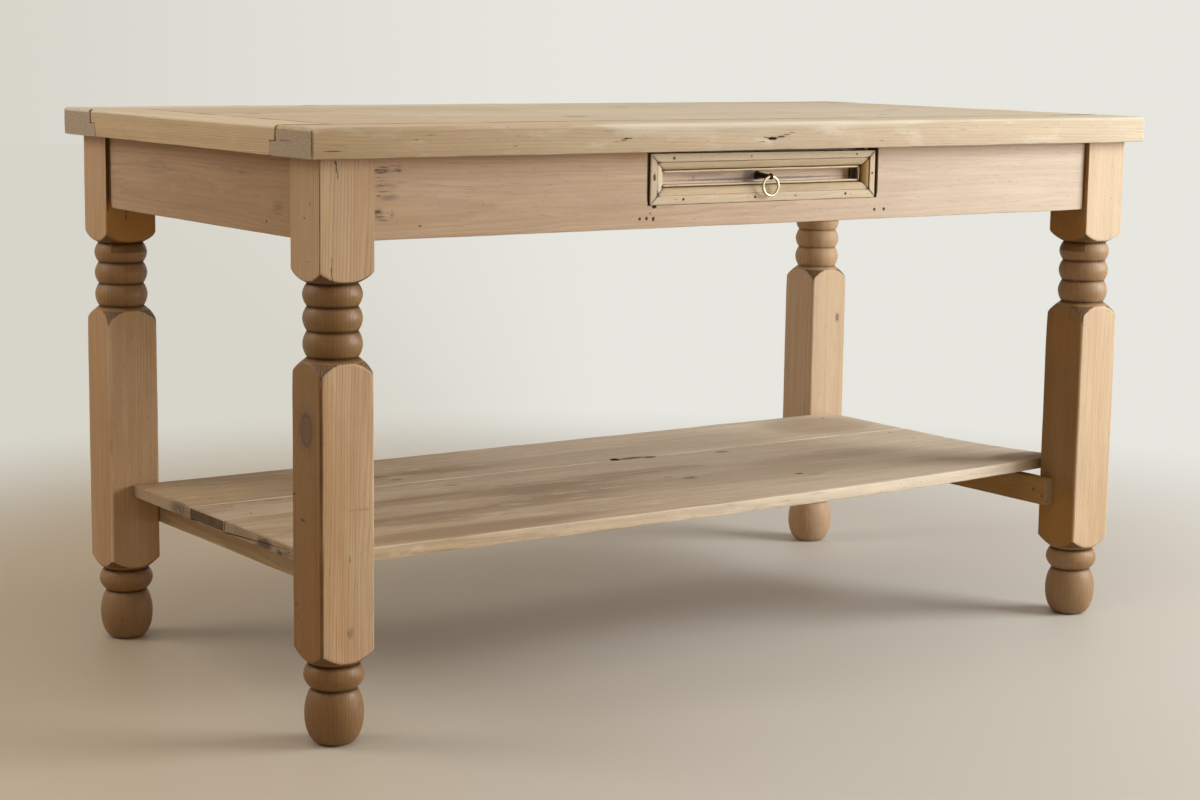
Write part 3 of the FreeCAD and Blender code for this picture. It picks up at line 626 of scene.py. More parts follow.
def board(name, corners, radii, span, axis, slot, material, edges, body="table", heart=(18.0, -60.0),
          seed=0, chew=0.5, wave=0.25, end_radius=1.0, end_edge=-0.6, end_wrap=0.0, soil=0.0,
          spacing=9.0, pitch=9.0, marks=(), bleach_and_light=(0.0, 1.0, 0.0), tone=None, sun=0.0, rub=2.6,
          spread=None, dark=(), browned=None, reshape=None):
    """Carries a worn outline along a line. Edges holds a weight for each corner, pale if over zero,
    and rub is how far it reaches; spread holds places along the board and how many times wider the
    rubbing reaches there, where nothing means a dirty edge. The three numbers that pale the board say
    where the tone starts and ends to rise along it, and by how much: bleaching, and painted light
    where it rises towards the window; sun is how much paler the upper face is. Dark holds places,
    heights and reaches of strips painted dark as shade in a gap; soil is how dirty the lower end's
    face is; browned is a place and its half sizes where the old brown polish is left."""
    outline = rounded_outline(corners, radii, spacing)
    away = outward(outline)
    edge = nearness(outline, corners, edges, rub)
    near = nearness(outline, corners, np.ones(len(radii)), 1.8 * max(1.5, max(radii)))
    places, draw_in = stations(*span, end_radius, pitch, marks)
    section = worn_section(outline, away, near, places, draw_in, seed, chew, wave)
    middle = section[[0, -1]].mean(1, keepdims=True) - [0.0, 4.0]
    cap_ring = middle + 0.97 * (section[[0, -1]] - middle)
    section = np.concatenate([cap_ring[:1], section, cap_ring[1:]])
    places = np.concatenate([places[:1], places, places[-1:]])
    points = np.empty(section.shape[:2] + (3,))
    points[..., axis] = places[:, None]
    points[..., 1 - axis] = section[..., 0]
    points[..., 2] = section[..., 1]
    if reshape is not None:
        points = reshape(points)
    centre = outline.mean(0)
    grain = [MM * points[..., axis] + 0.731 * seed, MM * (points[..., 1 - axis] - centre[0] - heart[0]),
             MM * (points[..., 2] - centre[1] - heart[1])]
    from_end = np.minimum(places - places[0], places[-1] - places)
    end = np.zeros(points.shape[:2])
    end[[0, -1]] = 1.0
    end[[1, -2]] = 0.6
    end[(from_end[:, None] < end_wrap) & (np.abs(away[:, 0]) > 0.7)] = 1.0
    edge = edge_colour(edge, places, from_end, end, end_edge, spread, soil)
    for place, height, reach in dark:
        strip = (np.abs(places - place) < reach)[:, None] & (section[..., 1] > height)
        edge = np.where(strip, painted_gap_shade, edge)
    if tone is None:
        tone = np.random.default_rng(seed + 50).uniform(-0.8, 0.8)
    share = np.clip((places - bleach_and_light[0]) / (bleach_and_light[1] - bleach_and_light[0]), 0, 1)
    tone = (tone + bleach_and_light[2] * share)[:, None] + sun * np.clip(away[None, :, 1], 0, 1)
    if browned is not None:
        tone = tone - 5.0 * np.exp(-(((points - browned[0]) / browned[1]) ** 2).sum(-1))
    return lay_wood(name, points, grain, {"edge": edge, "end": end, "tone": tone}, body,
                    [name.replace("worn_", "")], material)


print("board maker ready")

# %% [markdown]
# ## Colours of the pine
# The same old pine looks different from piece to piece. The top is bleached and a little grey, its
# edge is rubbed almost white, the aprons are pinker, the legs are honey coloured, and the shelf is
# greyer and more stained. Each gets its own mix of early wood, late wood, rubbed edge, end grain
# and stain, and its own knots, cracks and nail stains.

# %% Finishes of the top
top_front = -370
top_level = 762
top_marks = [
    ((-12, top_front, 739.6), (10, 8, 2.6), 1.0), ((-23, top_front, 741.0), (6, 6, 1.2), 0.7),
    ((2, top_front, 741.5), (8, 6, 1.3), 0.9), ((-699.6, -368.2, 744), (2.4, 1.2, 19), 0.65),
    ((-700, -300, 744), (3, 18, 0.8), 0.5),
]
top_marks += on_face(1, top_front, 3, [
    (-249, 743, 9, 1.1, 0.9), (-255, 740.8, 6, 0.9, 0.7), (-266, 739, 4, 0.7, 0.5),
    (-672, 734, 15, 0.9, 0.7), (-559, 746, 3, 0.8, 0.6), (-418, 736, 4, 0.8, 0.5),
    (-540, 751, 6, 0.7, 0.5), (-120, 738, 3, 0.8, 0.5), (180, 734, 3, 0.9, 0.45),
    (330, 747, 9, 0.6, 0.4),
])
top_marks += on_face(2, top_level, 2, [
    (-230, -300, 60, 0.7, 0.6), (410, -180, 40, 0.8, 0.55), (-500, 150, 4, 2.5, 0.7),
    (90, 220, 3, 3, 0.7),
])
top_marks += on_face(1, top_front, 5, [
    (11, 744.5, 8, 1.0, 0.7), (-30, 735.5, 9, 0.9, 0.6), (20, 747, 6, 0.9, 0.6),
])
top_knots = on_face(2, top_level, 9, [
    (-560, 60, 9, 7), (-180, -150, 12, 8), (130, 180, 8, 6), (500, -30, 11, 8), (330, -200, 7, 5),
    (-330, 330, 10, 7),
])
pine_top = pine("pine of the top", rgb(0.525, 0.39, 0.255), rgb(0.39, 0.255, 0.145),
                rgb(0.67, 0.59, 0.465), rgb(0.385, 0.30, 0.205), rgb(0.42, 0.31, 0.20), ring=4.0,
                contrast=0.5, wander=0.006, fibre=0.35, smear=0.5, marks=top_marks, knots=top_knots,
                rough=0.68)
pine_end_rail = pine("golden pine of the end rails", rgb(0.59, 0.425, 0.25), rgb(0.42, 0.27, 0.13),
                     rgb(0.70, 0.60, 0.46), rgb(0.36, 0.285, 0.19), rgb(0.45, 0.31, 0.17), ring=3.3,
                     contrast=0.9, wander=0.003, fibre=0.3, smear=0.2)
pine_strip = pine("pale strips", rgb(0.70, 0.60, 0.45), rgb(0.60, 0.48, 0.33), rgb(0.72, 0.64, 0.52),
                  rgb(0.36, 0.285, 0.19), rgb(0.58, 0.47, 0.33), ring=3.4, contrast=0.5, fibre=0.3)
print("marks on the top:", len(top_marks), "knots:", len(top_knots))

# %% [markdown]
# ## The top
# Two long boards run the whole length and show their grey end grain at both ends. Between them, at
# each end, a rail is lapped over their lips, so a small step shows where they meet. The field
# between is filled with boards and three pale strips. The long boards' outer corners are rounded
# in plan, which is done by pulling their outer edge in near the ends, and the upper edge is
# rubbed round by years of use.

# %% Long boards of the top
half_length, half_width, table_height = (value / MM for value in solid_box[1])
lap_top = measured("cross_strip_1")[0][2]
field_y = measured("cross_strip_1")[1][1]
underside = measured("top_board_front")[0][2]
inner_y = -measured("top_board_front")[1][1]
corner_radius = 2.5
upper_radius = 5.0
lower_radius = 1.5
seam_radius = 0.8
long_crack, short_crack = -12, -249


def draw_corner(points, outer, inner, from_end, radius):
    """Pulls the outer edge in near the ends by the sagitta of the corner's arc, fading to none inside."""
    short = np.clip(radius - from_end, 0, radius)
    pull = radius - np.sqrt(radius ** 2 - short ** 2)
    share = np.clip((points - inner) / (outer - inner), 0, 1)
    return points - np.sign(outer) * pull * share


def round_top_end(points):
    """Lowers the upper edge and lifts the lower one near the ends, as quarter rounds."""
    from_end = half_length - np.abs(points[..., 0])
    for limit, radius, side in ((table_height, upper_radius, 1), (underside, lower_radius, -1)):
        short = np.clip(radius - from_end, 0, radius)
        pull = radius - np.sqrt(np.maximum(radius ** 2 - short ** 2, 0))
        height = side * points[..., 2]
        points[..., 2] = side * np.minimum(height, side * limit - pull)
    return points


def pit(points, centre, sizes, depth, way):
    """Sinks the surface into a small hollow: a bell curve over a lengthened ball."""
    far = ((points - np.array(centre)) / np.array(sizes)) ** 2
    return points + np.array(way) * depth * np.exp(-far.sum(-1))[..., None]


def shape_long_board(side):
    """The change that turns a plain board into the long board on one side of the top."""
    def reshape(points):
        """Rounds the outer corners, and sinks the front board where it is chipped and cracked."""
        points[..., 1] = draw_corner(points[..., 1], side * half_width, side * inner_y,
                                     half_length - np.abs(points[..., 0]), corner_radius)
        points = round_top_end(points)
        if side < 0:
            points = pit(points, (long_crack, -half_width, 740), (13, 8, 3.2), 3.0, (0, 1, 0))
            points = pit(points, (short_crack, -half_width, 742), (7, 8, 1.5), 1.2, (0, 1, 0))
            points = pit(points, (-690, -half_width, 760), (14, 10, 4), 1.6, (0, 0.5, -1))
        return points
    return reshape


# the front board's tone rises along it, paler towards the window at the right: bleaching, and painted light
for side, name, tone, bleach_and_light in ((-1, "front", -1.2, (-half_length, half_length, 2.0)),
                                 (1, "back", 0.9, (0.0, 500.0, -0.8))):
    corners = [(half_width, underside), (half_width, table_height), (field_y, table_height),
               (field_y, lap_top), (inner_y, lap_top), (inner_y, underside)]
    radii = [lower_radius, upper_radius, seam_radius, 0.6, seam_radius, seam_radius]
    edges = [-0.35, 1.0, -1.1, -1.1, -1.1, -1.1]
    if side < 0:
        corners = [(-y, z) for y, z in corners[::-1]]
        radii, edges = radii[::-1], edges[::-1]
    board("worn_top_board_" + name, corners, radii, (-half_length, half_length), 0, "pine_top", pine_top,
          edges, heart=(side * 20.0, -75.0), seed=3 + side, chew=1.1, wave=0.3, end_radius=0.6,
          end_edge=0.5, end_wrap=1.0, spacing=4.0, pitch=7.0, bleach_and_light=bleach_and_light, tone=tone, sun=1.0, rub=3.8,
          marks=(long_crack, short_crack, -half_length + 3.0, half_length - 3.0),
          spread=((-560, -300, -260, 80, 230, 300), (0.0, 1.0, 3.4, 3.4, 2.6, 1.0)),
          reshape=shape_long_board(side))
print("top of %.0f by %.0f mm, %.0f mm thick" % (2 * half_length, 2 * half_width, table_height - underside))

# %% [markdown]
# ## End rails and the field
# An end rail's grain runs across the table. Its ends are stepped: the lower half stops at the long
# boards' lips, and the upper half goes on over them. The outline stays the same all along, and past
# the step its lower points are lifted to the lap, which leaves only the upper half. The field's
# boards are plain, with edges just soft enough to show a thin dark seam between them.

# %% End rails
def shape_end_rail(side):
    """The change that turns a plain board into the end rail on one side of the top."""
    def reshape(points):
        """Lifts the lower half to the lap past the step, and keeps it out of the field there."""
        past = np.abs(points[..., 1]) > inner_y + 0.01
        lifted = np.maximum(points[..., 2], lap_top + 0.3)
        points[..., 2] = np.where(past, lifted, points[..., 2])
        lip = np.maximum(side * points[..., 0], half_length - rail_width) * side
        points[..., 0] = np.where(past, lip, points[..., 0])
        return points
    return reshape


rail_width = half_length - measured("infill_bay4_back")[1][0]
rail_lip = half_length - measured("top_end_rail_right")[0][0]
for side, name in ((-1, "left"), (1, "right")):
    corners = [(half_length - rail_lip, underside), (half_length, underside), (half_length, table_height),
               (half_length - rail_width, table_height), (half_length - rail_width, lap_top),
               (half_length - rail_lip, lap_top)]
    radii = [seam_radius, lower_radius, upper_radius, seam_radius, 0.6, seam_radius]
    edges = [-1.1, 0.2, 1.3, 0.9, -1.1, -1.1]
    if side < 0:
        corners = [(-x, z) for x, z in corners[::-1]]
        radii, edges = radii[::-1], edges[::-1]
    board("worn_top_end_rail_" + name, corners, radii, (-field_y + 0.4, field_y - 0.4), 1, "pine_top",
          pine_end_rail, edges, heart=(side * 49.0, -85.0), seed=11 + side, chew=0.9, wave=0.3,
          end_radius=0.6, end_edge=-1.2, spacing=4.0, pitch=7.0, marks=(-inner_y, inner_y),
          tone=0.3 * side, sun=1.0, rub=5.5, reshape=shape_end_rail(side))
print("each rail's lower half is %.0f mm wide, its upper half %.0f mm" % (rail_lip, rail_width))

# %% [markdown]
# ## Boards between the strips
# Twelve boards fill the four bays, and each comes from a different part of the tree: its heart lies
# elsewhere, so its rings differ. Their tones differ a little too, which is what lets the eye see
# the seams. After each of the first three bays comes a strip with its hidden bearer under it, and
# the two differ only in their edges.

# %% Field boards, strips and bearers
crossing = (("cross_strip", 0.2, [0.3, 0.3, 0.8, 0.8], 0.3, 40), ("top_bearer", 0.0, [0.8] * 4, 0.2, 45))
for number in range(1, 5):
    for row in ("front", "middle", "back"):
        name = "infill_bay%d_%s" % (number, row)
        low, high = measured(name)
        board("worn_" + name, square(low[1:], high[1:]), [0.4, 0.4, 0.9, 0.9],
              (low[0] + 0.2, high[0] - 0.2), 0, "pine_top", pine_top, [-0.8, -0.8, -0.7, -0.7],
              heart=(25.0 * (number - 2.5), -40.0 - 8 * number), seed=20 + 3 * number + len(row), chew=0.5,
              wave=0.35, end_radius=0.7, spacing=7.0,
              tone=0.45 * number - 1.0 + (0.3 if row == "middle" else 0.0), sun=0.9)
    for kind, gap, radii, end_gap, seed in crossing if number < 4 else ():
        name = "%s_%d" % (kind, number)
        low, high = measured(name)
        board("worn_" + name, square(low[::2] + [gap, 0], high[::2] - [gap, 0]), radii,
              (low[1] + end_gap, high[1] - end_gap), 1, "pine_top", pine_strip, [-0.3] * 4,
              heart=(60.0, -30.0), seed=seed + number, chew=0.4, wave=0.2, end_radius=0.5)
print("field from y %.0f to %.0f mm" % (-field_y, field_y))

# %% [markdown]
# ## Aprons
# The aprons are pinker boards under the top, tenoned into the legs. The front one has an opening
# for the drawer. Its outline keeps the same number of points all along, so the opening is made by
# lowering the upper points wherever the drawer goes, and at the ends the whole outline closes in to
# the tenon. Two boards shrank a little and show a gap beside a leg, where the tenon is seen; the
# tenon in that gap and the walls of the drawer's opening are painted dark as shade.

# %% Apron finish
apron_y, apron_x = -343, -673
apron_marks = [
    ((apron_x, -200, 640), (3, 2.2, 1.6), 0.85),
]
apron_marks += on_face(1, apron_y, 3, [
    (-120, 634, 2, 1.2, 0.4), (-538, 640, 3, 1.4, 0.8), (-598, 709, 17, 1.0, 0.6),
    (-569, 708, 6, 1.4, 0.55), (-597, 659, 5, 2.2, 0.6), (-186.6, 636.5, 2.6, 3.2, 0.9),
    (-197.6, 638, 2.6, 2.6, 0.85), (-208.6, 637, 2.0, 2.0, 0.6), (-185.5, 652.4, 4.5, 2.4, 1.0),
    (193.2, 637.5, 2.6, 2.6, 0.9), (210.8, 637.5, 2.6, 2.6, 0.9), (-192, 644, 2, 2, 0.5),
])
draw = np.random.default_rng(12)
for number in range(26):
    across = -602 + 17 * abs(draw.normal())
    place = (across, apron_y, draw.choice((708, 690, 676, 656)) + 5 * draw.normal())
    size = (draw.uniform(1.5, 9.0), 3, draw.uniform(0.4, 1.1))
    apron_marks.append((place, size, draw.uniform(0.25, 0.65)))
apron_stains = on_face(1, apron_y, 4, [
    (-540, 716, 90, 12, 0.35), (-190, 633, 40, 8, 0.3), (-590, 690, 22, 40, 0.5),
    (-225, 718, 30, 5, 0.7), (-575, 645, 60, 16, 0.4),
])
apron_smudges = on_face(1, apron_y, 4, [
    (-590, 704, 34, 9, 0.65), (-588, 688, 24, 7, 0.55), (-582, 676, 18, 6, 0.5),
    (-596, 656, 9, 9, 0.7), (-567, 704, 4, 16, 0.5), (-577, 654, 4, 9, 0.45),
])
apron_smudges += on_face(0, apron_x, 4, [
    (-120, 700, 60, 9, 0.45), (120, 690, 50, 14, 0.4), (-230, 660, 20, 16, 0.4),
])
pine_aprons = pine("pinkish pine of the aprons", rgb(0.505, 0.345, 0.225), rgb(0.385, 0.23, 0.135),
                   rgb(0.60, 0.49, 0.39), rgb(0.24, 0.16, 0.10), rgb(0.44, 0.26, 0.13), ring=4.0,
                   contrast=0.6, fibre=0.4, smear=0.1, marks=apron_marks, stains=apron_stains,
                   smudges=apron_smudges, knots=[((-250, 343, 690), (9, 9, 7))])
print("apron marks:", len(apron_marks))

# %% Aprons
tenon_reach = 30.0
tenon_inset = 10.0
tenon_cheek = 6.0
opening_low = measured("drawer_runner_left")[1][2]
opening_half = 196.5
shrunk = 2.5
# the front apron's tone rises towards the window at the right: bleaching, and painted light
aprons = {
    "front": dict(axis=0, seed=61, gap=shrunk, tone=-0.5, bleach_and_light=(-420.0, 420.0, 2.1)),
    "back": dict(axis=0, seed=67, gap=0.0, tone=0.3, bleach_and_light=(0.0, 1.0, 0.0)),
    "left": dict(axis=1, seed=64, gap=shrunk, tone=-1.25, bleach_and_light=(-250.0, 250.0, 0.6)),
    "right": dict(axis=1, seed=72, gap=0.0, tone=0.6, bleach_and_light=(0.0, 1.0, 0.0)),
}


def shape_apron(axis, shoulders, opening=None, worn_corner=0.0):
    """The change that turns a plain board into an apron between two shoulders."""
    def reshape(points):
        """Closes the board in to its tenons past the shoulders, lowers it in the drawer's opening, and
        rounds its lower corner off at the far shoulder."""
        along = points[..., axis]
        across = points[..., 1 - axis]
        middle = (across.max() + across.min()) / 2
        half = (across.max() - across.min()) / 2 - tenon_cheek
        tenon = (along < shoulders[0]) | (along > shoulders[1])
        closed = np.clip(across, middle - half, middle + half)
        points[..., 1 - axis] = np.where(tenon, closed, across)
        height = points[..., 2]
        closed = np.clip(height, height.min() + tenon_inset, height.max() - tenon_inset)
        short = np.clip(worn_corner - shoulders[1] + along, 0, worn_corner)
        lift = worn_corner - np.sqrt(worn_corner ** 2 - short ** 2)
        height = np.where(tenon, closed, np.maximum(height, height.min() + lift))
        if opening is not None:
            cut = np.abs(along) < opening[0]
            height = np.where(cut, np.minimum(height, opening[1]), height)
        points[..., 2] = height
        return points
    return reshape


for name, kind in aprons.items():
    axis, gap = kind["axis"], kind["gap"]
    low, high = measured("apron_" + name)
    shoulders = (low[axis] + tenon_reach, high[axis] - tenon_reach - gap)
    opening = (opening_half, opening_low) if name == "front" else None
    # the tenon in the shrinkage gap and the walls of the drawer's opening are painted dark as shade
    dark = [(shoulders[1] + gap / 2, 0.0, gap / 2)]
    steps = list(shoulders)
    if opening:
        dark += [(side * opening_half, opening_low + 7.0, 1.1) for side in (-1, 1)]
        steps += [-opening_half, opening_half]
    lower, upper = low[[1 - axis, 2]], high[[1 - axis, 2]]
    board("worn_apron_" + name, square(lower, upper), [1.2, 1.2, 0.6, 0.6],
          (low[axis] + 0.5, high[axis] - 0.5), axis, "pine_aprons", pine_aprons,
          [0.25, 0.25, -0.35, -0.35], heart=(40.0, -12.0 + 3 * axis), seed=kind["seed"], chew=0.7,
          wave=0.25, end_radius=0.4, end_edge=-1.0, spacing=6.0, bleach_and_light=kind["bleach_and_light"], tone=kind["tone"],
          marks=[step + side * 0.02 for step in steps for side in (-1, 1)], dark=dark,
          reshape=shape_apron(axis, shoulders, opening, 8.0 if name == "left" else 0.0))
    print("apron_%s runs from %.1f to %.1f mm between its shoulders" % (name, *shoulders))

# %% [markdown]
# ## Legs
# A leg is a square post that was partly turned on a lathe. The turned outline is a list of radii
# and heights, made of quarter rounds. The square is a rounded outline seen as a distance from the
# middle in each direction. At each height a point of the leg lies at the smaller of the two
# distances, and that alone draws the arched shoulders where the round cuts into the square. The
# points of the outline are the heights of the grid, so every bead and groove keeps its shape.

# %% Turned outline
corner_reach = 54.1
widest_turned = 38.1
ball_top, ring_top, beads_low = 70.5, 102.0, 483.0
bead_heights = (32.0, 30.0, 28.0)
round_share = 0.5523


def quarter(start, corner, end, steps=9):
    """A quarter round that leaves its start towards the corner and comes to its end from it."""
    start, corner, end = [np.array(point, float) for point in (start, corner, end)]
    share = np.linspace(0, 1, steps + 1)[1:, None]
    first = start + (corner - start) * round_share
    second = end + (corner - end) * round_share
    return (start * (1 - share) ** 3 + 3 * first * share * (1 - share) ** 2
            + 3 * second * share ** 2 * (1 - share) + end * share ** 3)


def straight(start, end, steps):
    """Even steps between two points of the outline, without the first."""
    share = np.linspace(0, 1, steps + 1)[1:, None]
    return np.array(start, float) * (1 - share) + np.array(end, float) * share


def lifted(corner, crest, share):
    """A corner point moved along to its crest by a share, which makes the round shallower."""
    corner = np.array(corner, float)
    return corner + (np.array(crest, float) - corner) * share


def turned_outline():
    """Radius and height, from the floor up: ball, ring, long block, three beads, upper block."""
    ball_crest, ring_crest, trimmed = (37.2, 38.1), (38.0, 86.9), (50.3, 463.5)
    block_low, block_high = (corner_reach, 124.0), (corner_reach, 593.5)
    runs = [
        [(6.0, 0.0), (18.5, 0.0)],
        quarter((18.5, 0.0), (37.2, 0.0), ball_crest, 12),
        quarter(ball_crest, lifted((37.2, ball_top), ball_crest, 0.22), (28.0, ball_top), 12),
        quarter((28.0, ball_top), lifted((38.0, ball_top), ring_crest, 0.43), ring_crest),
        quarter(ring_crest, lifted((38.0, ring_top), ring_crest, 0.2), (30.5, ring_top)),
        quarter((30.5, ring_top), lifted((corner_reach, ring_top), block_low, 0.85), block_low, 18),
        straight(block_low, (corner_reach, 377.5), 42),
        straight((corner_reach, 377.5), trimmed, 14),
        quarter(trimmed, lifted((50.3, beads_low), trimmed, 0.75), (31.2, beads_low), 16),
    ]
    level = beads_low
    for height in bead_heights:
        crest = (36.8, level + height / 2)
        runs.append(quarter((31.2, level), lifted((36.8, level), crest, 0.43), crest, 8))
        level += height
        runs.append(quarter(crest, lifted((36.8, level), crest, 0.43), (31.2, level), 8))
    runs += [
        quarter((30.5, level), lifted((corner_reach, level), block_high, 0.5), block_high, 18),
        straight(block_high, (corner_reach, underside), 22),
    ]
    return np.concatenate([np.asarray(run, float) for run in runs])


leg_outline = turned_outline()
print("leg outline: %d points up to %.0f mm" % (len(leg_outline), leg_outline[-1, 1]))

# %% [markdown]
# ## Finish of the legs
# The legs are the brownest wood of the table: their turned parts still hold wax and dirt, and the
# two left ones are darkest. Splits, dents and nail stains are single places in the material, so
# that each one lies where the photograph shows it.

# %% Leg finish
leg_x, leg_y, leg_half = 642.5, 312.5, 37.5
post_x, post_y = leg_x + leg_half, leg_y + leg_half
leg_marks = [
    ((-650, 275, 611), (1.1, 4, 5), 0.85), ((-649, 275, 618), (2.0, 4, 1.4), 0.6),
]
leg_marks += on_face(0, -post_x, 3, [
    (-326, 670, 1.2, 4, 0.5), (-312, 652, 2, 1.6, 0.8), (-319, 600, 4, 1.2, 0.4),
    (-281, 312, 3, 1.6, 0.8), (-304, 283, 5, 1.2, 0.7), (-285, 174, 3, 3, 0.4),
    (-290, 160, 1.6, 2, 0.6),
])
leg_marks += on_face(1, -post_y, 4, [
    (-657, 714, 0.9, 8, 0.9), (-655.2, 705, 0.7, 7, 0.8), (-658.5, 720, 1.2, 3, 0.8),
    (-663.8, 601, 0.6, 9, 0.55), (-664.2, 590, 0.8, 9, 0.75), (-662.5, 579, 0.8, 5, 0.7),
])
leg_marks += on_face(1, -post_y, 3, [
    (-626, 298, 20, 0.7, 0.2), (-643, 146, 1.2, 5, 0.45), (-640, 238, 1.2, 5, 0.4),
    (660, 470, 1.2, 1.6, 0.6), (655, 640, 1.4, 1.4, 0.5),
])
leg_knots = [
    ((-post_x, -314, 396), (7, 14, 19)), ((661, 275, 395), (3, 4, 5)), ((640, post_y, 300), (9, 8, 12)),
    ((-605, 300, 250), (7, 8, 10)),
]
# the first stain, on the back-left leg under the left apron, and the next three, on the front-right leg's
# inner face under the table, are painted shade; the last is a stain
leg_stains_and_shade = [
    ((-642.5, 275, 606), (50, 8, 40), 1.0), ((605, -312, 150), (8, 44, 55), 0.7),
    ((605, -312, 600), (8, 44, 26), 0.5), ((605, -312, 425), (8, 44, 40), 0.3),
    ((-post_x, 312, 350), (8, 44, 260), 0.3),
]
leg_smudges = [
    ((-628, -post_y, 299), (22, 4, 2), 0.2), ((-post_x, -304, 283), (4, 9, 5), 0.6),
    ((-640, -post_y, 146), (9, 4, 10), 0.5), ((-642, -312, 22), (60, 60, 60), 0.32),
    ((-642, 312, 22), (60, 60, 60), 0.3), ((642, -312, 22), (60, 60, 60), 0.35),
    ((642, 312, 22), (60, 60, 60), 0.2),
]
# the legs' deep orange stain colour also paints the shade of those places
pine_legs = pine("honey pine of the legs", rgb(0.50, 0.325, 0.185), rgb(0.37, 0.21, 0.10),
                 rgb(0.63, 0.47, 0.315), rgb(0.12, 0.065, 0.024), rgb(0.37, 0.17, 0.03), ring=3.6,
                 contrast=0.9, fibre=0.35, blotch=0.45, wander=0.006, marks=leg_marks, knots=leg_knots,
                 stains=leg_stains_and_shade, smudges=leg_smudges)
print("leg marks:", len(leg_marks))

# %% [markdown]
# ## Four legs
# Each leg is a grid: its rows are the heights of the turned outline, and its columns go round the
# square. The lower part's corners are worn rounder than the upper part's, so two outlines of the
# square are mixed by height. The colours follow the shape: dirt and painted shade in the grooves,
# rubbed corners, with a painted highlight on the corner towards the window, faces painted paler
# towards the window and darker away from it, and painted shade on the faces inside the frame.

# %% Legs
block_corners = square((-leg_half, -leg_half), (leg_half, leg_half))
crisp = rounded_outline(block_corners, [1.6] * 4, 3.1, 6)
worn = rounded_outline(block_corners, [4.2] * 4, 2.85, 6)
notches = np.concatenate([[ball_top, ring_top], beads_low + np.cumsum((0.0, *bead_heights))])
opened_x, opened_z = leg_x + leg_half - 6.5, 622


def leg(name, x, y, seed, arris, bleach_and_light, shade, wax, gap=False):
    """Each point lies at the smaller of the turned radius and the square's distance that way, with the
    two joined by a short soft step; the square's faces wave a little. Arris is how pale or dark the
    corner at the lower X and Y is; the next number is how pale the square's faces are, apart from the
    lower face away from the window, partly as painted light; shade is how dark that lower face is, as
    painted shade; and wax is how dark its turned parts are. The faces inside the frame, under the
    aprons, are darkened as painted shade, and the strip beside an open shoulder of an apron is
    painted dark as shade in the gap."""
    radius, height = leg_outline[:, 0, None], leg_outline[:, 1, None]
    lower = 1 / (1 + np.exp((height - 520.0) / 12.0))
    plan = crisp[None] * (1 - lower[..., None]) + worn[None] * lower[..., None]
    reach = np.linalg.norm(plan, axis=2)
    way = plan / reach[..., None]
    across = np.arange(len(crisp))[None] * 2.4
    wave = 0.15 + 0.3 * ripple(height + 0.4 * across, seed, 330.0)
    wave = wave + 0.2 * ripple(across + 0.2 * height, seed + 9, 90.0)
    reach = reach - np.clip(wave, 0, None)
    soft = -np.logaddexp(-2.5 * radius, -2.5 * reach) / 2.5
    lathed = radius < widest_turned
    turned_wave = 0.12 * (1 + ripple(across + 3.0 * height, seed + 3, 70.0))
    distance = np.where(lathed & (height > 0), np.minimum(radius, soft + 0.3) - turned_wave, soft)
    points = np.concatenate([way * distance[..., None] + np.array([x, y]),
                             height[..., None] + 0 * reach[..., None]], 2)
    cut = np.clip((reach - 0.2 - radius) / 0.6, 0, 1) * ~lathed
    in_block = ~lathed + 0 * reach
    # the corner between the front face and the face towards the window is rubbed pale: wear, and a painted
    # highlight
    weights = np.array([arris, 0.8, 0.3, 0.3])
    thin, wide = [nearness(worn, block_corners, weights, size)[None] for size in (3.0, 4.0)]
    line = (thin * (1 - lower) + wide * lower) * in_block * (1 - cut)
    line = line * (0.92 + 0.3 * ripple(height, seed + 4, 260.0))
    # darker near the grooves of the turning: dirt and wax, and painted shade in the crease
    from_notch = np.abs(height - notches).min(1, keepdims=True)
    groove_dirt_and_shade = 0.3 * bell(from_notch, 1.6) + (0.4 + 0.3 * wax) * bell(from_notch, 4.5)
    edge = np.where(lathed, -groove_dirt_and_shade, line - 0.5 * cut * bell(radius, 5.0, 31.0))
    facing = outward(worn)[None]
    # the strip of the leg's face beside an open shoulder is painted dark as shade in the gap
    if gap:
        beside = (points[..., 0] * np.sign(x) > opened_x) & (facing[..., 1] * y < 0) & (height > opened_z)
        edge = np.where(beside & (np.abs(facing[..., 1]) > 0.9), painted_gap_shade, edge)
    # painted shade: the lower face away from the window gets a low tone, as dark as shade says; the other
    # square faces are painted paler by the leg's paling, partly as painted light
    shaded = np.clip(-facing[..., 0], 0, 1) * lower * in_block
    # painted shade: the faces inside the frame, above 560 mm, under the aprons, get the lowest tone
    inside = np.maximum(-facing[..., 0] * np.sign(x), -facing[..., 1] * np.sign(y))
    inside = np.clip(inside, 0, 1) * (height > 560)
    tone = bleach_and_light * (1 - 0.45 * lower) * in_block * (1 - cut) * (1 - shaded) - shade * shaded
    tone = tone * (1 - inside) - 2.0 * inside
    heart = np.random.default_rng(seed + 5).uniform(60, 130, 2) * [1, -1]
    grain = [MM * points[..., 2] + 0.37 * seed, MM * (points[..., 0] - x - heart[0]),
             MM * (points[..., 1] - y - heart[1])]
    # on the lower face away from the window the wax darkening is painted shade as well
    tags = {"edge": edge, "end": cut, "tone": tone, "waxed": wax * (1 - in_block + 0.3 * shaded)}
    return lay_wood("turned_" + name, points, grain, tags, "table", [name], pine_legs)


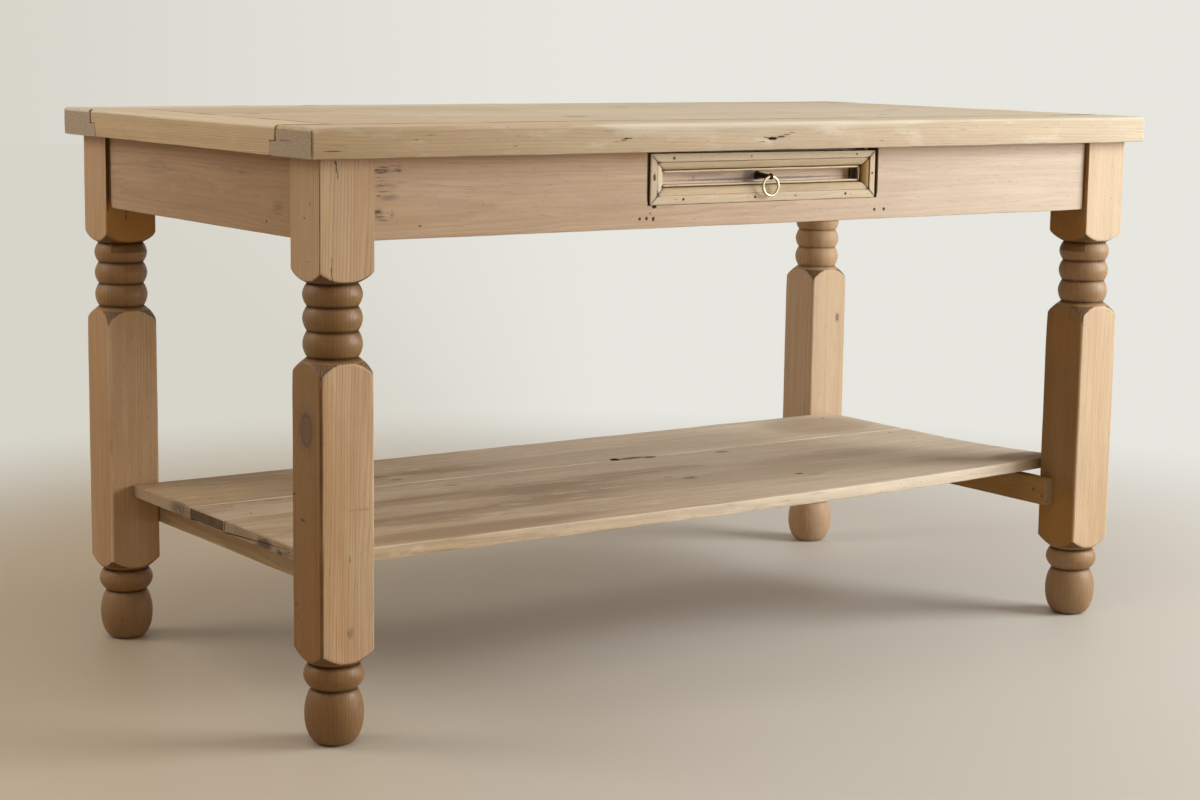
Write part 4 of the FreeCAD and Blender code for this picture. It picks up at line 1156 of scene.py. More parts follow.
for number, (name, x_side, y_side, arris, bleach_and_light, shade, wax) in enumerate((
        ("front_left", -1, -1, -0.95, -0.15, 1.7, 0.92), ("front_right", 1, -1, 0.3, 1.9, 1.5, 0.6),
        ("back_left", -1, 1, 1.4, 0.3, -0.3, 0.75), ("back_right", 1, 1, 0.3, 2.0, -1.2, 0.2))):
    piece = leg("leg_" + name, x_side * leg_x, y_side * leg_y, 80 + 6 * number, arris, bleach_and_light, shade, wax,
                gap=name == "back_left")
print("faces in a leg:", len(piece.data.polygons))

# %% [markdown]
# ## Shelf
# Three greyer, more stained boards lie on a rail at each end. The front one has twisted: its front
# edge rises towards the right, so that light shows between it and the rail there. The rise grows
# with the square of the distance along and across, as a board that cups and winds does.

# %% Shelf finish
shelf_end, shelf_top = measured("shelf_board_middle")[0][0], measured("shelf_board_middle")[1][2]
shelf_marks = [
    ((shelf_end, 118, 220), (7, 34, 14), 0.35), ((shelf_end, -138, 219), (7, 24, 8), 0.65),
    ((shelf_end, -205, 221), (5, 6, 2), 0.5), ((shelf_end, -225, 217), (5, 12, 2), 0.4),
    ((622, -264, 233), (44, 26, 18), 0.25),
]
shelf_marks += on_face(2, shelf_top, 3, [
    (62, 86, 10, 11, 1.0), (92, 83, 34, 9, 0.7), (120, 78, 15, 10, 0.85), (246, 58, 15, 8, 0.6),
    (70, -94, 15, 9, 0.4), (76, -90, 6, 4, 0.6), (230, -151, 8, 4, 0.95), (250, -166, 16, 2.4, 0.6),
])
shelf_marks += on_face(2, shelf_top, 2, [
    (46, -72, 10, 4, 0.4), (-306, 114, 12, 6, 0.4), (-261, 36, 14, 4, 0.4), (-530, 68, 18, 3, 0.5),
    (-560, 72, 10, 1.6, 0.5),
])
shelf_marks += on_face(0, shelf_end, 6, [
    (-21.5, 221, 1.6, 12, 0.95), (83.5, 221, 1.4, 12, 0.8), (-122, 214, 14, 3, 0.5),
    (-181, 215, 9, 3, 0.6),
])
shelf_smudges = [
    ((622, -262, 236), (42, 36, 18), 0.45), ((70, 82, shelf_top), (60, 5, 3), 0.7),
    ((-120, 83, shelf_top), (120, 2, 2), 0.3),
]
shelf_smudges += on_face(0, shelf_end, 6, [
    (112, 221, 40, 14, 0.6), (-190, 216, 44, 6, 0.7), (-60, 221, 40, 12, 0.35),
])
shelf_stains = [
    ((-330, -36, shelf_top), (330, 26, 5), 0.55), ((20, -16, shelf_top), (150, 20, 5), 0.5),
    ((600, -240, 233), (60, 40, 18), 0.85),
]
shelf_stains += on_face(2, shelf_top, 6, [
    (180, -120, 190, 60, 0.3), (-400, -238, 230, 34, 0.85), (350, -60, 200, 30, 0.3),
    (540, 180, 110, 90, 0.5),
])
pine_shelf = pine("greyish pine of the shelf", rgb(0.575, 0.43, 0.295), rgb(0.41, 0.28, 0.17),
                  rgb(0.73, 0.61, 0.475), rgb(0.36, 0.26, 0.16), rgb(0.31, 0.21, 0.12), ring=5.0,
                  contrast=0.8, fibre=0.5, blotch=0.9, smear=0.55, marks=shelf_marks, stains=shelf_stains,
                  smudges=shelf_smudges, knots=[((-300, -180, 212), (10, 8, 9))], rough=0.66)
pine_rails = pine("brown pine of the rails", rgb(0.58, 0.385, 0.20), rgb(0.43, 0.27, 0.125),
                  rgb(0.65, 0.52, 0.36), rgb(0.30, 0.19, 0.10), rgb(0.42, 0.24, 0.11), ring=4.2,
                  contrast=0.7, fibre=0.35, rough=0.66)
print("shelf marks:", len(shelf_marks))

# %% [markdown]
# ## Shelf boards and rails
# The three boards differ in how the sun, the rubbing and the dirt have treated them, so each has
# its own row in a small table, and one loop makes them all. The twist is worked out on the points
# of the finished board, where it costs nothing and keeps the thickness.

# %% Shelf
twist = 9.5


def twisted(points):
    """The twist of the front board: a rise that grows with the square of the way right, times the way
    forward to the power of one and a half."""
    over = np.clip((points[..., 0] - 60.0) / 588.0, 0, 1)
    forward = np.clip((-22.0 - points[..., 1]) / 250.0, 0, 1)
    points[..., 2] += twist * over ** 2 * forward ** 1.5
    return points


# each board's tone rises towards the right, where the window is: bleaching, and painted light
shelf_boards = {
    "back": dict(seed=91, edges=[-0.4, 0.3, 0.3, 1.0], heart=(20.0, -45.0), tone=-1.15,
                 bleach_and_light=(-440.0, -60.0, 2.7), soil=0.15),
    "middle": dict(seed=94, edges=[-0.9, -0.4, -0.4, -0.7], heart=(90.0, -45.0), tone=-0.5,
                   bleach_and_light=(shelf_end, 250.0, 2.5), soil=1.0),
    "front": dict(seed=97, edges=[0.7, -0.9, -0.9, 0.9], heart=(-30.0, -45.0), tone=-0.75,
                  bleach_and_light=(-450.0, 300.0, 2.8), soil=0.45, reshape=twisted,
                  browned=(np.array([640, -262, 230]), np.array([62, 55, 40]))),
}
for name, kind in shelf_boards.items():
    low, high = measured("shelf_board_" + name)
    board("worn_shelf_board_" + name, square(low[1:], high[1:]), [1.5, 1.0, 1.0, 1.8], (low[0], high[0]),
          0, "pine_shelf", pine_shelf, chew=1.2, wave=0.5, end_radius=1.6, end_edge=0.4, spacing=8.0,
          pitch=8.0, **kind)
# the right rail's low tone darkens and warms its inner face: painted shade under the table
for side, material, seed, tone in (("left", pine_shelf, 105, -1.2), ("right", pine_rails, 106, -2.0)):
    low, high = measured("shelf_rail_" + side)
    board("worn_shelf_rail_" + side, square(low[::2], high[::2]), [1.2] * 4, (low[1], high[1]), 1,
          "pine_shelf", material, [0.1] * 4, heart=(30.0, 5.0), seed=seed, chew=0.8, wave=0.3,
          end_radius=1.2, end_edge=0.4, spacing=6.0, pitch=8.0, tone=tone)
print("the front board rises by up to %.1f mm at its front right corner" % twist)

# %% [markdown]
# ## Drawer front
# A sunk board lies inside four pieces of moulding, mitred at the corners. A moulding is one section
# carried along its run, and each point of the section stops where it meets the mitre: the further
# in it lies, the shorter its run. A hair's breadth is left open, and the joint shows dark, as it
# does where such a joint has dried out. The section has a flat, a small quirk, a quarter round and
# a bead beside the sunk board.

# %% Drawer finish
face_y, board_y = -344.0, -320.0
drawer_half = 193.0
# the mark on the right moulding's inner side beside the sunk board is a painted shadow; the others are nail
# stains and cracks
drawer_marks_and_shadow = [
    ((-143, -335, 709), (2, 4, 1), 0.5), ((-180, -335, 670), (2.2, 12, 5.5), 0.9),
    ((-176, -336, 677), (1.8, 8, 1.8), 0.9), ((167.5, -328, 687), (2.2, 9, 15), 0.85),
]
drawer_marks_and_shadow += on_face(1, face_y, 3, [
    (-155.5, 715, 2.4, 2.0, 0.8), (-26.5, 715, 1.5, 1.5, 0.85), (158, 715, 1.8, 1.8, 0.95),
    (-186.5, 690.5, 2.6, 5.6, 0.85), (186.5, 687.9, 1.8, 2.2, 0.9), (-139, 660.8, 2.4, 2.2, 0.95),
    (-19, 660.8, 2.2, 2.4, 0.8), (50, 660.8, 1.3, 1.3, 0.6), (139, 660.8, 2.6, 2.4, 0.95),
    (-152, 661, 1.6, 1.0, 0.5), (149, 660, 1.6, 1.0, 0.5), (-31, 661, 1.6, 1.2, 0.4),
    (118, 656, 1.2, 1.0, 0.5),
])
drawer_stains_and_shadow = [
    ((-150, -336, 678), (10, 5, 2), 0.4), ((90, face_y, 705), (60, 6, 3), 0.2),
]
# the stain round the pull's root is partly dirt and partly the pull's painted shadow
drawer_stains_and_shadow += on_face(1, board_y, 3, [
    (0, 683.6, 170, 1.9, 1.0), (-40, 700, 60, 5, 0.3), (-90, 690, 40, 4, 0.35),
    (-12, 684, 13, 17, 0.85),
])
pine_front = pine("beige pine of the drawer", rgb(0.63, 0.48, 0.315), rgb(0.45, 0.305, 0.175),
                  rgb(0.72, 0.60, 0.43), rgb(0.27, 0.20, 0.13), rgb(0.30, 0.20, 0.14), ring=4.0,
                  contrast=0.7, fibre=0.4, blotch=0.35, marks=drawer_marks_and_shadow, stains=drawer_stains_and_shadow)
# the sunk board's mark at its right end is a painted shadow in the corner by the moulding
pine_panel = pine("pinkish sunk board", rgb(0.73, 0.53, 0.355), rgb(0.55, 0.37, 0.24),
                  rgb(0.64, 0.52, 0.40), rgb(0.27, 0.20, 0.13), rgb(0.24, 0.17, 0.15), ring=5.0,
                  contrast=0.5, fibre=0.35, blotch=0.4,
                  marks=[((-106, board_y, 688), (2.5, 3, 2.5), 0.35),
                         ((170, board_y, 688), (8, 4, 14), 0.95)],
                  stains=drawer_stains_and_shadow)
print("drawer marks:", len(drawer_marks_and_shadow))

# %% [markdown]
# ## Mouldings
# The section is written once as a list of points from the back of the outer edge round to the
# front, since every moulding was planed with the same plane. Each of the four is then laid in its
# own place and turned by choosing which way its run and its width go. The drawer's top and right
# edges were planed to make it run, so the points past those lines are brought back to them.

# %% Mouldings
moulding_width, moulding_depth = 25.5, 24.0
flat, quirk, ovolo_width, ovolo_depth = 11.5, 0.8, 10.0, 5.2
bead, bead_depth = 1.4, 9.0
mitre_gap = 0.35


def arc_points(centre, start, end, size, steps):
    """Points of an arc, by its centre, angles in degrees and radii along the two axes."""
    angles = np.radians(np.linspace(start, end, steps + 1))
    return np.stack([centre[0] + size[0] * np.cos(angles), centre[1] + size[1] * np.sin(angles)], 1)


def moulding_section():
    """Inward and deep, from the back of the outer edge round by the front: the corner, the flat, the
    quirk, the quarter round, the bead, and the back beside the sunk board."""
    top = flat + ovolo_width
    inner = moulding_width - bead
    return np.concatenate([
        [(0.0, moulding_depth), (0.0, 12.0)],
        arc_points((1.2, 1.2), 180, 270, (1.2, 1.2), 4),
        np.stack([np.linspace(2.2, flat - 0.7, 6), np.zeros(6)], 1),
        [(flat - 0.35, 0.1), (flat - 0.2, quirk + 0.5), (flat + 0.15, quirk + 0.5)],
        [(flat + 0.4, quirk + 0.05)],
        arc_points((flat, quirk + ovolo_depth), 268, 360, (ovolo_width, ovolo_depth), 12)[2:],
        [(top + 0.05, bead_depth - 0.4), (top + 0.3, bead_depth + 0.2)],
        [(inner - bead - 0.1, bead_depth + 0.2)],
        arc_points((inner, bead_depth), 190, 350, (bead, bead), 8),
        [(moulding_width, bead_depth + 1.0), (moulding_width, 16.0), (moulding_width, moulding_depth)],
    ])


def moulding_dirt_and_shade(section, quirk_darkening):
    """Darker in the quirk, in the crease before the bead and under the bead; grimy and painted dark
    as shade on the outer edge, which shows in the gap round the drawer; and a rubbed front corner.
    """
    inward, deep = section.T
    edge = quirk_darkening * bell(inward, 0.8, flat)
    edge = edge - 1.1 * bell(inward - flat - ovolo_width, 1.1, 0.6) * (deep > 6)
    edge = edge - 0.8 * bell(deep, 4.0, 14.0) * (inward > 20)
    edge = edge + 0.7 * bell(np.hypot(inward - 0.6, deep - 0.6), 1.4)
    # the outer edge, seen in the gap round the drawer, is grimy and painted dark as shade, most at the
    # front
    gap_grime_and_shade = 1.7 - 1.3 * np.clip(deep / 16.0, 0, 1)
    return edge - gap_grime_and_shade * (inward < 1.0) * (deep > 1.0)


def placed_moulding(side, run, inward, deep):
    """Where a point of a moulding lies: along its run, inward from the drawer's edge, and deep."""
    middle_z, half_z = (drawer_low + drawer_high) / 2, (drawer_high - drawer_low) / 2
    y = face_y + deep
    if side in ("top", "bottom"):
        level = (half_z - inward) * (1 if side == "top" else -1)
        return np.stack([run, y, middle_z + level], -1)
    level = (drawer_half - inward) * (1 if side == "right" else -1)
    return np.stack([level, y, middle_z + run], -1)


# per side: how dark the quirk is, the flat's tone and how much darker the quarter round is; the flat and
# round follow the light: the top's flat is painted pale against the shade under the top, the top and right
# rounds, facing away from the lamps, are painted darker as shade, and the left round, facing the window, is
# painted paler as light
moulding_looks = {"top": (-0.8, 1.4, 2.1), "right": (-0.95, -0.3, 1.7), "bottom": (-0.5, 0.3, 1.2),
                  "left": (-0.95, 0.2, -1.0)}
drawer_low, drawer_high = measured("drawer_front")[0][2], measured("drawer_front")[1][2]
section = moulding_section()
for number, (side, (quirk_darkening, flat_tone, round_drop)) in enumerate(moulding_looks.items()):
    long_way = side in ("top", "bottom")
    half_run = drawer_half if long_way else (drawer_high - drawer_low) / 2
    share = np.unique(np.concatenate([np.linspace(-1, 1, 49 if long_way else 13), [-0.997, 0.997]]))
    inward = section[None, :, 0] + 0 * share[:, None]
    run = share[:, None] * (half_run - inward - mitre_gap)
    deep = section[None, :, 1] + 0.25 + 0.25 * ripple(run + 40 * number, 120 + number, 160.0, 4)
    deep = deep + 0.5 * (np.abs(share[:, None]) > 0.999)
    inward = inward + 0.15 + 0.15 * ripple(run, 130 + number, 120.0, 3)
    points = placed_moulding(side, run, inward, np.minimum(deep, moulding_depth))
    planed = drawer_high - 0.2 - 2.3 * (points[..., 0] + drawer_half) / (2 * drawer_half)
    points[..., 2] = np.minimum(points[..., 2], planed)
    points[..., 0] = np.minimum(points[..., 0], drawer_half - 2.0)
    edge = moulding_dirt_and_shade(section, quirk_darkening)[None]
    edge = edge - 0.85 * bell((1 - np.abs(share)) * half_run, 1.1)[:, None]
    grain = [run * MM + 0.5 * number, MM * (inward - 40.0), MM * (deep + 55.0)]
    past_quirk = np.clip((inward - flat + 1.0) / 2.0, 0, 1)
    at_bead = np.clip((inward - flat - ovolo_width - 0.8) / 0.8, 0, 1)
    # the bead beside the sunk board gets a high tone: a painted highlight that shows it as a pale line
    tone = (flat_tone - round_drop * past_quirk) * (1 - at_bead) + 1.8 * at_bead
    lay_wood("worn_drawer_moulding_" + side, points, grain, {"edge": edge, "tone": tone}, "drawer",
             ["drawer_moulding_" + side], pine_front)
print("moulding section:", len(section), "points")

# %% [markdown]
# ## Sunk board
# The board behind the mouldings is the drawer's real front, and its two ends are rebated for the
# sides. It is one more board from the same function, with its back brought forward at both ends.

# %% Sunk board
side_lap = 8.0
side_inside = measured("drawer_side_right")[0][0]


def shape_panel(points):
    """Makes room for the drawer's sides by bringing the back forward at both ends."""
    beside = np.abs(points[..., 0]) > side_inside
    back = measured("drawer_front")[1][1] - side_lap
    points[..., 1] = np.where(beside, np.minimum(points[..., 1], back), points[..., 1])
    return points


low, high = measured("drawer_front")
lap_steps = [side * side_inside + gap for side in (-1, 1) for gap in (-0.02, 0.02)]
board("worn_drawer_front", square(low[1:], high[1:]), [0.4] * 4, (low[0] + 0.2, high[0] - 0.2), 0,
      "pine_drawer_front", pine_panel, [-0.5] * 4, body="drawer", heart=(-20.0, 15.0), seed=141, chew=0.2,
      wave=0.2, end_radius=0.4, spacing=4.0, marks=lap_steps, reshape=shape_panel)
print("sunk board between x %.0f and %.0f mm" % (low[0], high[0]))

# %% [markdown]
# ## Ring pull
# The ring hangs in an eye on a stem, with a small plate at its root. A ring is a circle carried
# round a circle: two angles give each point. A real one is not quite round, and its wire is a
# little thinner where it rubs. The plate and stem are outlines turned round an axis.

# %% Metal finishes
def metal(name, base, dull, shine, rub, bright, lumps=240.0, metallic=1.0):
    """Metal with a dull film in patches; shine and rub are the roughness of the clean and dull parts."""
    material, tree = blank_material(name)
    spot = object_place(tree)
    film = rise(tree, cloud(tree, spot, lumps, detail=4.0), 0.38, 0.66)
    colour = mixed(tree, film, base, dull)
    colour = mixed(tree, rise(tree, tag(tree, "edge"), 0.2, 0.9), colour, bright)
    pits = cloud(tree, spot, 2600.0, detail=2.0)
    bump = add(tree, "ShaderNodeBump", {"Strength": 0.25, "Distance": 0.0001, "Height": pits})
    gloss = plus(tree, shine, times(tree, film, rub - shine))
    feeds = {"Base Color": colour, "Metallic": metallic, "Roughness": gloss, "Normal": bump}
    add_output(tree, add(tree, "ShaderNodeBsdfPrincipled", feeds))
    return material


brass = metal("pale brass", rgb(0.32, 0.225, 0.11), rgb(0.13, 0.085, 0.04), 0.28, 0.45,
              rgb(0.68, 0.56, 0.35))
aged_brass = metal("aged brass", rgb(0.075, 0.052, 0.030), rgb(0.035, 0.025, 0.016), 0.35, 0.6,
                   rgb(0.82, 0.70, 0.46), lumps=500.0)
iron = metal("old iron", rgb(0.060, 0.050, 0.044), rgb(0.045, 0.026, 0.017), 0.5, 0.8,
             rgb(0.12, 0.11, 0.10), lumps=900.0, metallic=0.7)
browned_iron = metal("browned iron", rgb(0.16, 0.115, 0.075), rgb(0.11, 0.075, 0.05), 0.6, 0.8,
                     rgb(0.2, 0.15, 0.1), lumps=900.0, metallic=0.2)
print("metal finishes: brass, aged brass, iron, browned iron")

# %% [markdown]
# ## Ring, eye, stem and plate
# The ring and the eye come from one function, which carries a circle round a circle; the stem and
# the plate come from another, which turns an outline round a line. The eye and its stem are one
# piece of metal, so they are laid as one piece here.

# %% Ring, eye, plate and stem
pull_x, eye_y = 2.0, -350.0
eye_z = (drawer_low + drawer_high) / 2
wire, ring_mean = 1.75, 12.9
eye_wire, eye_mean = 1.3, 3.3


def hoop(centre, mean, tube, axis, around=96, section=20, seed=0, slack=0.0):
    """A circle carried round a circle: the first angle goes round the axis, the second round the wire."""
    first = np.linspace(0, 2 * np.pi, around, endpoint=False)[:, None]
    second = np.linspace(0, 2 * np.pi, section, endpoint=False)[None]
    size = tube * (1 - slack * (0.5 + 0.5 * ripple(first * 60 / np.pi, seed, 40.0)))
    out = mean * (1 - 0.15 * slack * (1 + np.sin(2 * first + seed))) + size * np.cos(second)
    lift = size * np.sin(second)
    parts = [out * np.cos(first), out * np.sin(first)]
    parts.insert(axis, lift + 0 * first)
    return np.stack(parts, -1) + np.array(centre)


def turned(outline, centre, around=40):
    """An outline of radius and depth turned about a line along Y, from the front backwards."""
    outline = np.asarray(outline, float)
    angle = np.linspace(0, 2 * np.pi, around, endpoint=False)[None]
    radius, deep = outline[:, 0, None], outline[:, 1, None]
    return np.stack([centre[0] + radius * np.cos(angle), centre[1] + deep + 0 * angle,
                     centre[2] + radius * np.sin(angle)], -1)


def plain_tags(count, edge=0.0):
    """The same edge value for each of so many points."""
    return {"edge": np.zeros(count) + edge}


ring_points = hoop((pull_x, eye_y, eye_z - ring_mean), ring_mean, wire, 1, seed=5, slack=0.02)
# the front of the wire is brighter: rubbed bright, and a painted highlight
front_worn_and_highlight = np.clip((eye_y - ring_points[..., 1]) / wire + 0.1, 0, 1).ravel()
lay("pull_ring_wire", ring_points, tube_faces(*ring_points.shape[:2], closed=True), [], "ring",
    ["pull_ring"], brass, {"edge": front_worn_and_highlight})

eye_ring = hoop((pull_x, eye_y, eye_z), eye_mean, eye_wire, 0, around=48, section=16, seed=7, slack=0.05)
eye_points = eye_ring.reshape(-1, 3)
stem_front, stem_around = -346.95, 24
stem_outline = [(0.9, -0.6), (1.8, -0.4), (2.5, 0.0), (2.9, 1.0), (3.2, 8.0), (3.8, 18.0), (4.6, 25.2),
                (2.0, 25.35), (2.0, 47.0), (1.6, 47.4), (0.8, 47.45)]
stem_points = turned(stem_outline, (pull_x, stem_front, eye_z), stem_around).reshape(-1, 3)
# the eye's upper side towards the window is brighter: a painted highlight
eye_highlight = np.clip((eye_points[:, 2] - eye_z) / 4.0, 0, 1) ** 2 * (eye_points[:, 0] > pull_x)
stem_caps = [cap + len(eye_points) for cap in cap_faces(len(stem_outline), stem_around)]
stem_quads = tube_faces(len(stem_outline), stem_around) + len(eye_points)
quads = np.concatenate([tube_faces(*eye_ring.shape[:2], closed=True), stem_quads])
lay("pull_stem_and_eye", np.concatenate([eye_points, stem_points]), quads, stem_caps, "drawer",
    ["pull_stem"], aged_brass,
    {"edge": np.concatenate([eye_highlight, np.zeros(len(stem_points))])})

plate_front = -321.6
plate_outline = [(2.05, 0.3), (3.4, 0.1), (4.4, 0.3), (5.1, 0.6), (5.6, 1.0), (5.9, 1.3), (5.9, 1.6),
                 (2.1, 1.6)]
plate_points = turned(plate_outline, (pull_x, plate_front, eye_z))
count, around = plate_points.shape[:2]
lay("pull_plate", plate_points, tube_faces(count, around, closed=True), [], "drawer",
    ["pull_rosette"], aged_brass, plain_tags(count * around, 0.1))
print("the ring hangs from z %.1f to %.1f mm" % (ring_points[..., 2].min(), ring_points[..., 2].max()))

# %% [markdown]
# ## Nails
# The nails that hold the mouldings, the runners, the shelf and its rails are old iron, with low
# domed heads a little out of round. One head and shank is an outline turned round an axis; adding
# each nail's place to the same array of points makes them all at once. The ones on the lifted
# shelf board rise with it.

# %% Nails
def nails(node, groups, head, shank, length, body, finish=iron, lift=None):
    """One outline of a domed head and a shank, turned round each group's axis and set at its places."""
    outline = np.array([(0.05, -0.22), (0.5, -0.2), (0.85, -0.08), (1.0, 0.25), (1.0, 0.9)]) * [head, 1.0]
    outline = np.concatenate([outline, [(shank, 1.0), (shank, length * 0.8), (0.1, length)]])
    around = 14
    angle = np.linspace(0, 2 * np.pi, around, endpoint=False)
    radius = outline[:, 0, None] * (1 + 0.05 * np.sin(3 * angle))
    forms = []
    for axis, sign, places in groups:
        first, second = np.eye(3)[[(axis + 1) % 3, (axis + 2) % 3]]
        one = (radius * np.cos(angle))[..., None] * first + (radius * np.sin(angle))[..., None] * second
        one = one + outline[:, 1, None, None] * np.eye(3)[axis] * sign
        places = np.array(places, float)
        if lift is not None:
            places = lift(places)
        forms.append(one[None] + places[:, None, None])
    points = np.concatenate(forms)
    count = len(outline) * around
    faces = tube_faces(len(outline), around)
    quads = np.concatenate([faces + number * count for number in range(len(points))])
    ends = cap_faces(len(outline), around)
    caps = [end + number * count for number in range(len(points)) for end in ends]
    lay("iron_" + node, points, quads, caps, body, [node], finish, plain_tags(points.size // 3))


brad_inset = 6.5
brad_rows = [(drawer_high - brad_inset, (-0.40, -0.07, 0.41)),
             (drawer_low + brad_inset, (-0.36, -0.05, 0.13, 0.36))]
brads = [(2 * drawer_half * share, face_y, z) for z, shares in brad_rows for share in shares]
brads += [(side * (drawer_half - brad_inset), face_y, eye_z) for side in (-1, 1)]
nails("moulding_brads", [(1, 1, brads)], 1.3, 0.8, 33.0, "drawer")

runner_low = measured("drawer_runner_left")[0][2]
runner_x, runner_width, apron_face = 169, 55, 343.0
across = [-runner_x - runner_width * share for share in (0.32, 0.52, 0.72)]
across += [runner_x + runner_width * share for share in (0.44, 0.76)]
groups = [(1, -side, [(x, side * apron_face, runner_low + 8.5) for x in across]) for side in (-1, 1)]
nails("runner_nails", groups, 2.2, 1.5, 34.0, "table")

shelf_nail_x = 597.0
places = []
for name in ("front", "middle", "back"):
    low, high = measured("shelf_board_" + name)
    rows = [low[1] + share * (high[1] - low[1]) for share in (0.22, 0.78)]
    places += [(side * shelf_nail_x, y, high[2] - 0.2) for side in (-1, 1) for y in rows]
nails("shelf_nails", [(2, -1, places)], 2.4, 1.5, 34.0, "table", finish=browned_iron, lift=twisted)

rail_face, leg_inner, leg_overlap, rail_depth = 589.2, 275, 31, 42.0
rail_top = measured("shelf_rail_left")[1][2]
rows = [(leg_inner + leg_overlap * lap, rail_top - share * rail_depth)
        for lap, share in ((0.16, 0.48), (0.74, 0.66))]
groups = [(0, side, [(side * rail_face, y_side * y, z) for y_side in (-1, 1) for y, z in rows])
          for side in (-1, 1)]
nails("shelf_rail_nails", groups, 2.2, 1.5, 34.0, "table")
print("nails in the shelf's boards:", len(places))

# %% [markdown]
# ## Hidden pieces
# The runners, guides, stops and turn-buttons under the top, and the drawer's sides, back and
# bottom, are plain shapes whose solids are right as they are. A copy of each is merged into one
# skin, its long edges are eased by a small bevel, and it gets a paler, cleaner pine, since such
# pieces never saw the sun.

# %% Finish of hidden pine
pine_inside = pine("inside pine", rgb(0.56, 0.42, 0.27), rgb(0.44, 0.29, 0.16), rgb(0.60, 0.46, 0.31),
                   rgb(0.36, 0.26, 0.16), rgb(0.44, 0.31, 0.19), ring=4.4, contrast=0.7, fibre=0.35,
                   blotch=0.45)


def eased(node, body, material, axis, bevel=0.8, seed=0):
    """A merged copy of a solid with eased edges, whose grain runs along one axis."""
    mesh = nodes[node].data.copy()
    form = bmesh.new()
    form.from_mesh(mesh)
    bmesh.ops.remove_doubles(form, verts=form.verts, dist=1e-6)
    bmesh.ops.dissolve_limit(form, angle_limit=math.radians(1), verts=form.verts, edges=form.edges)
    form.to_mesh(mesh)
    form.free()
    mesh.materials.clear()
    points = np.empty(len(mesh.vertices) * 3)
    mesh.vertices.foreach_get("co", points)
    points = points.reshape(-1, 3)
    middle = points.mean(0)
    order = [axis, (axis + 1) % 3, (axis + 2) % 3]
    grain = (points - middle)[:, order] + np.array([0.61 * seed, 0.03 + 0.004 * (seed % 7), 0.035])
    tone = np.full(len(points), np.random.default_rng(seed).uniform(-1, 1))
    tell_points(mesh, "grain", grain)
    tell_points(mesh, "tone", tone)
    piece = finish_piece("eased_" + node, mesh, body, [node], material)
    mesh.set_sharp_from_angle(angle=math.radians(30))
    edge = piece.modifiers.new("eased edges", "BEVEL")
    edge.width = MM * bevel
    edge.segments = 2
    edge.limit_method = "ANGLE"
    edge.angle_limit = math.radians(40)
    edge.harden_normals = True
    return piece


print("named nodes in the model:", len(nodes))

# %% Hidden pieces
for number, (node, body, axis) in enumerate((
        ("drawer_runner_left", "table", 1), ("drawer_runner_right", "table", 1),
        ("drawer_guide_left", "table", 1), ("drawer_guide_right", "table", 1),
        ("drawer_stops", "table", 1), ("top_buttons", "table", 1), ("drawer_side_left", "drawer", 1),
        ("drawer_side_right", "drawer", 1), ("drawer_back", "drawer", 0), ("drawer_bottom", "drawer", 0))):
    eased(node, body, pine_inside, axis, seed=150 + number)
for node, body in (("top_button_screws", "table"), ("drawer_nails", "drawer")):
    eased(node, body, iron, 2, bevel=0.2)
eased("pull_nut", "drawer", aged_brass, 1, bevel=0.4)
left_over = [name for name, node in nodes.items() if not node.hide_render]
print("solids still shown as they came:", left_over)

# %% [markdown]
# ## Floor, backdrop and light
# The floor is pale, painted paler and cooler towards the window and darker and warmer away from
# it, and keeps the table's soft shadow. Far from the table it fades into the backdrop's colour for
# the camera alone, so there is no hard line between them and no wall to hide the table from
# behind. The key light is a large lamp at the right, as from a window: it lights the long side more
# the nearer it is, and leaves the left ends in softer shade. The world gives the even light of a
# white room.

# %% Floor and backdrop
backdrop = rgb(0.80, 0.79, 0.74)
dim_backdrop = rgb(0.68, 0.66, 0.59)


def toward_window(tree, way):
    """How far a direction or a place lies to the right of the picture, where the window is."""
    return add(tree, "ShaderNodeVectorMath", {0: way, 1: tuple(level)}, output=1, operation="DOT_PRODUCT")


def backdrop_colour(tree, way):
    """The backdrop's colour in a direction from the table: dimmer away from the window."""
    return mixed(tree, rise(tree, toward_window(tree, way), -0.3, 0.02), dim_backdrop, backdrop)


def seen_directly(tree):
    """One for the camera, reflections and light through glass, nothing for the light itself."""
    path = tree.nodes.new("ShaderNodeLightPath")
    seen = plus(tree, path.outputs["Is Camera Ray"], path.outputs["Is Glossy Ray"])
    return plus(tree, seen, path.outputs["Is Transmission Ray"], clamp=True)


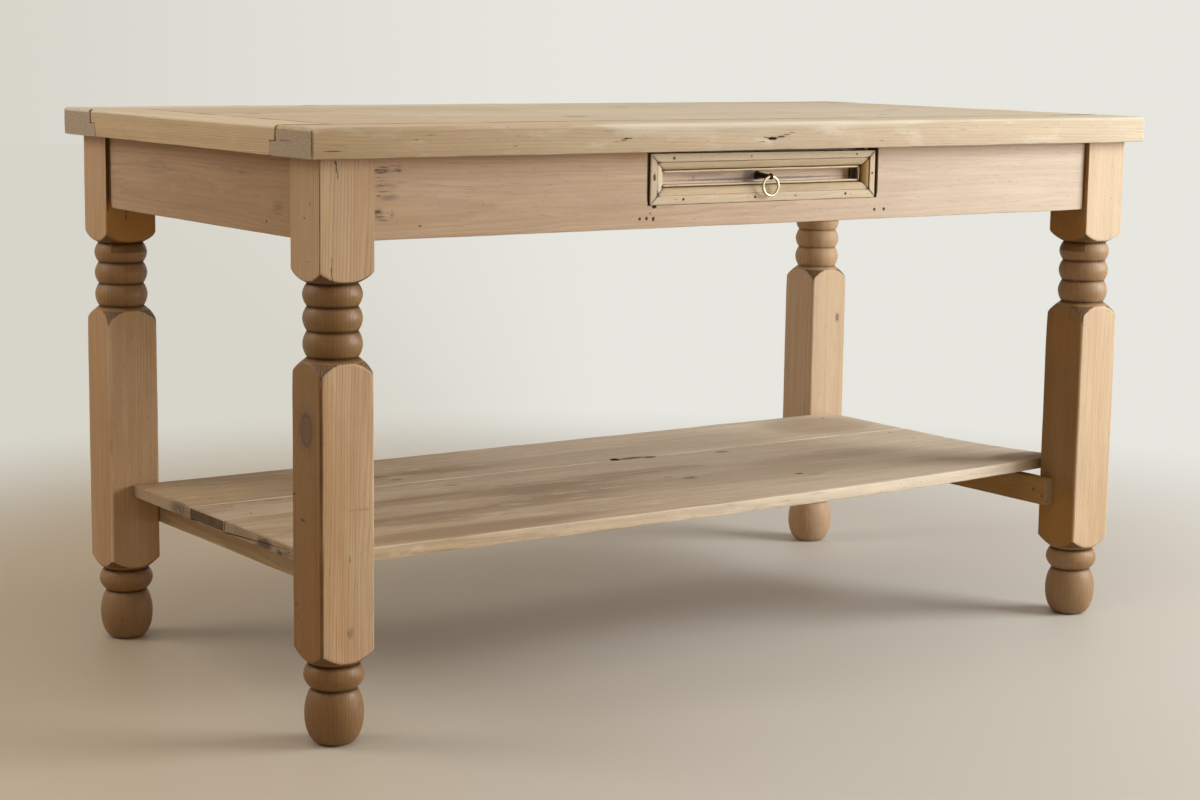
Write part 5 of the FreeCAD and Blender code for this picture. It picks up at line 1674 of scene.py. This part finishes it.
def floor_material():
    """A pale floor near the table, painted paler and cooler towards the window, which turns into the
    backdrop's own glow for the camera far away.
    """
    material, tree = blank_material("pale floor")
    spot = object_place(tree)
    fade = times(tree, rise(tree, length_of(tree, spot), 0.95, 2.1), seen_directly(tree))
    # painted light: the floor's colour grows paler and cooler towards the window
    lit = rise(tree, toward_window(tree, spot), -0.9, 0.3)
    pale = mixed(tree, lit, rgb(0.50, 0.405, 0.29), rgb(0.54, 0.49, 0.435))
    ground = add(tree, "ShaderNodeBsdfPrincipled", {"Base Color": pale, "Roughness": 0.6})
    way = add(tree, "ShaderNodeVectorMath", {0: spot}, operation="NORMALIZE")
    glow = add(tree, "ShaderNodeEmission", {"Color": backdrop_colour(tree, way), "Strength": 1.0})
    add_output(tree, add(tree, "ShaderNodeMixShader", {0: fade, 1: ground, 2: glow}))
    return material


def make_floor(size=14.0):
    """A square of so many metres each way from the middle."""
    mesh = bpy.data.meshes.new("floor")
    corners = [(x, y, 0) for x, y in square((-size, -size), (size, size))]
    mesh.from_pydata(corners, [], [(0, 1, 2, 3)])
    mesh.materials.append(floor_material())
    floor = bpy.data.objects.new("floor", mesh)
    scene.collection.objects.link(floor)


make_floor()
world = bpy.data.worlds.new("white room")
scene.world = world
world.use_nodes = True
tree = world.node_tree
tree.nodes.clear()
way = add(tree, "ShaderNodeTexCoord", {}, output=0)
colour = mixed(tree, seen_directly(tree), rgb(0.36, 0.31, 0.25), backdrop_colour(tree, way))
add_output(tree, add(tree, "ShaderNodeBackground", {"Color": colour, "Strength": 1.0}), "World")
print("backdrop colour:", backdrop[:3])

# %% [markdown]
# ## Lamps
# Three square lamps stand for two windows and a white ceiling. Their size makes the shadows soft,
# and their colours differ a little, as cool light from the sky and warm light from a room do.

# %% Lamps
def lamp(name, place, target, width, height, watts, colour):
    """A soft square lamp that faces a target and isn't seen by the camera."""
    light = bpy.data.lights.new(name, "AREA")
    light.shape = "RECTANGLE"
    light.size, light.size_y = width, height
    light.energy = watts
    light.color = colour
    holder = bpy.data.objects.new(name, light)
    place, target = Vector(place), Vector(target)
    facing = (target - place).to_track_quat("-Z", "Y").to_matrix().to_4x4()
    holder.matrix_world = Matrix.Translation(place) @ facing
    holder.visible_camera = False
    scene.collection.objects.link(holder)


lamp("window", (2.5, -2.0, 1.45), (0.1, 0.0, 0.5), 1.7, 1.6, 132.0, (0.90, 0.97, 1.0))
lamp("ceiling", (-0.7, -0.5, 2.6), (-0.3, 0.0, 0.5), 2.2, 1.8, 16.0, (1.0, 0.98, 0.94))
lamp("second window", (-2.6, 1.3, 2.0), (-0.6, 0.1, 0.5), 1.3, 1.3, 26.0, (1.0, 0.97, 0.92))
print("lamps: two windows and the ceiling")

# %% [markdown]
# ## Last step
# The view layer is brought up to date.

# %% End
bpy.context.view_layer.update()
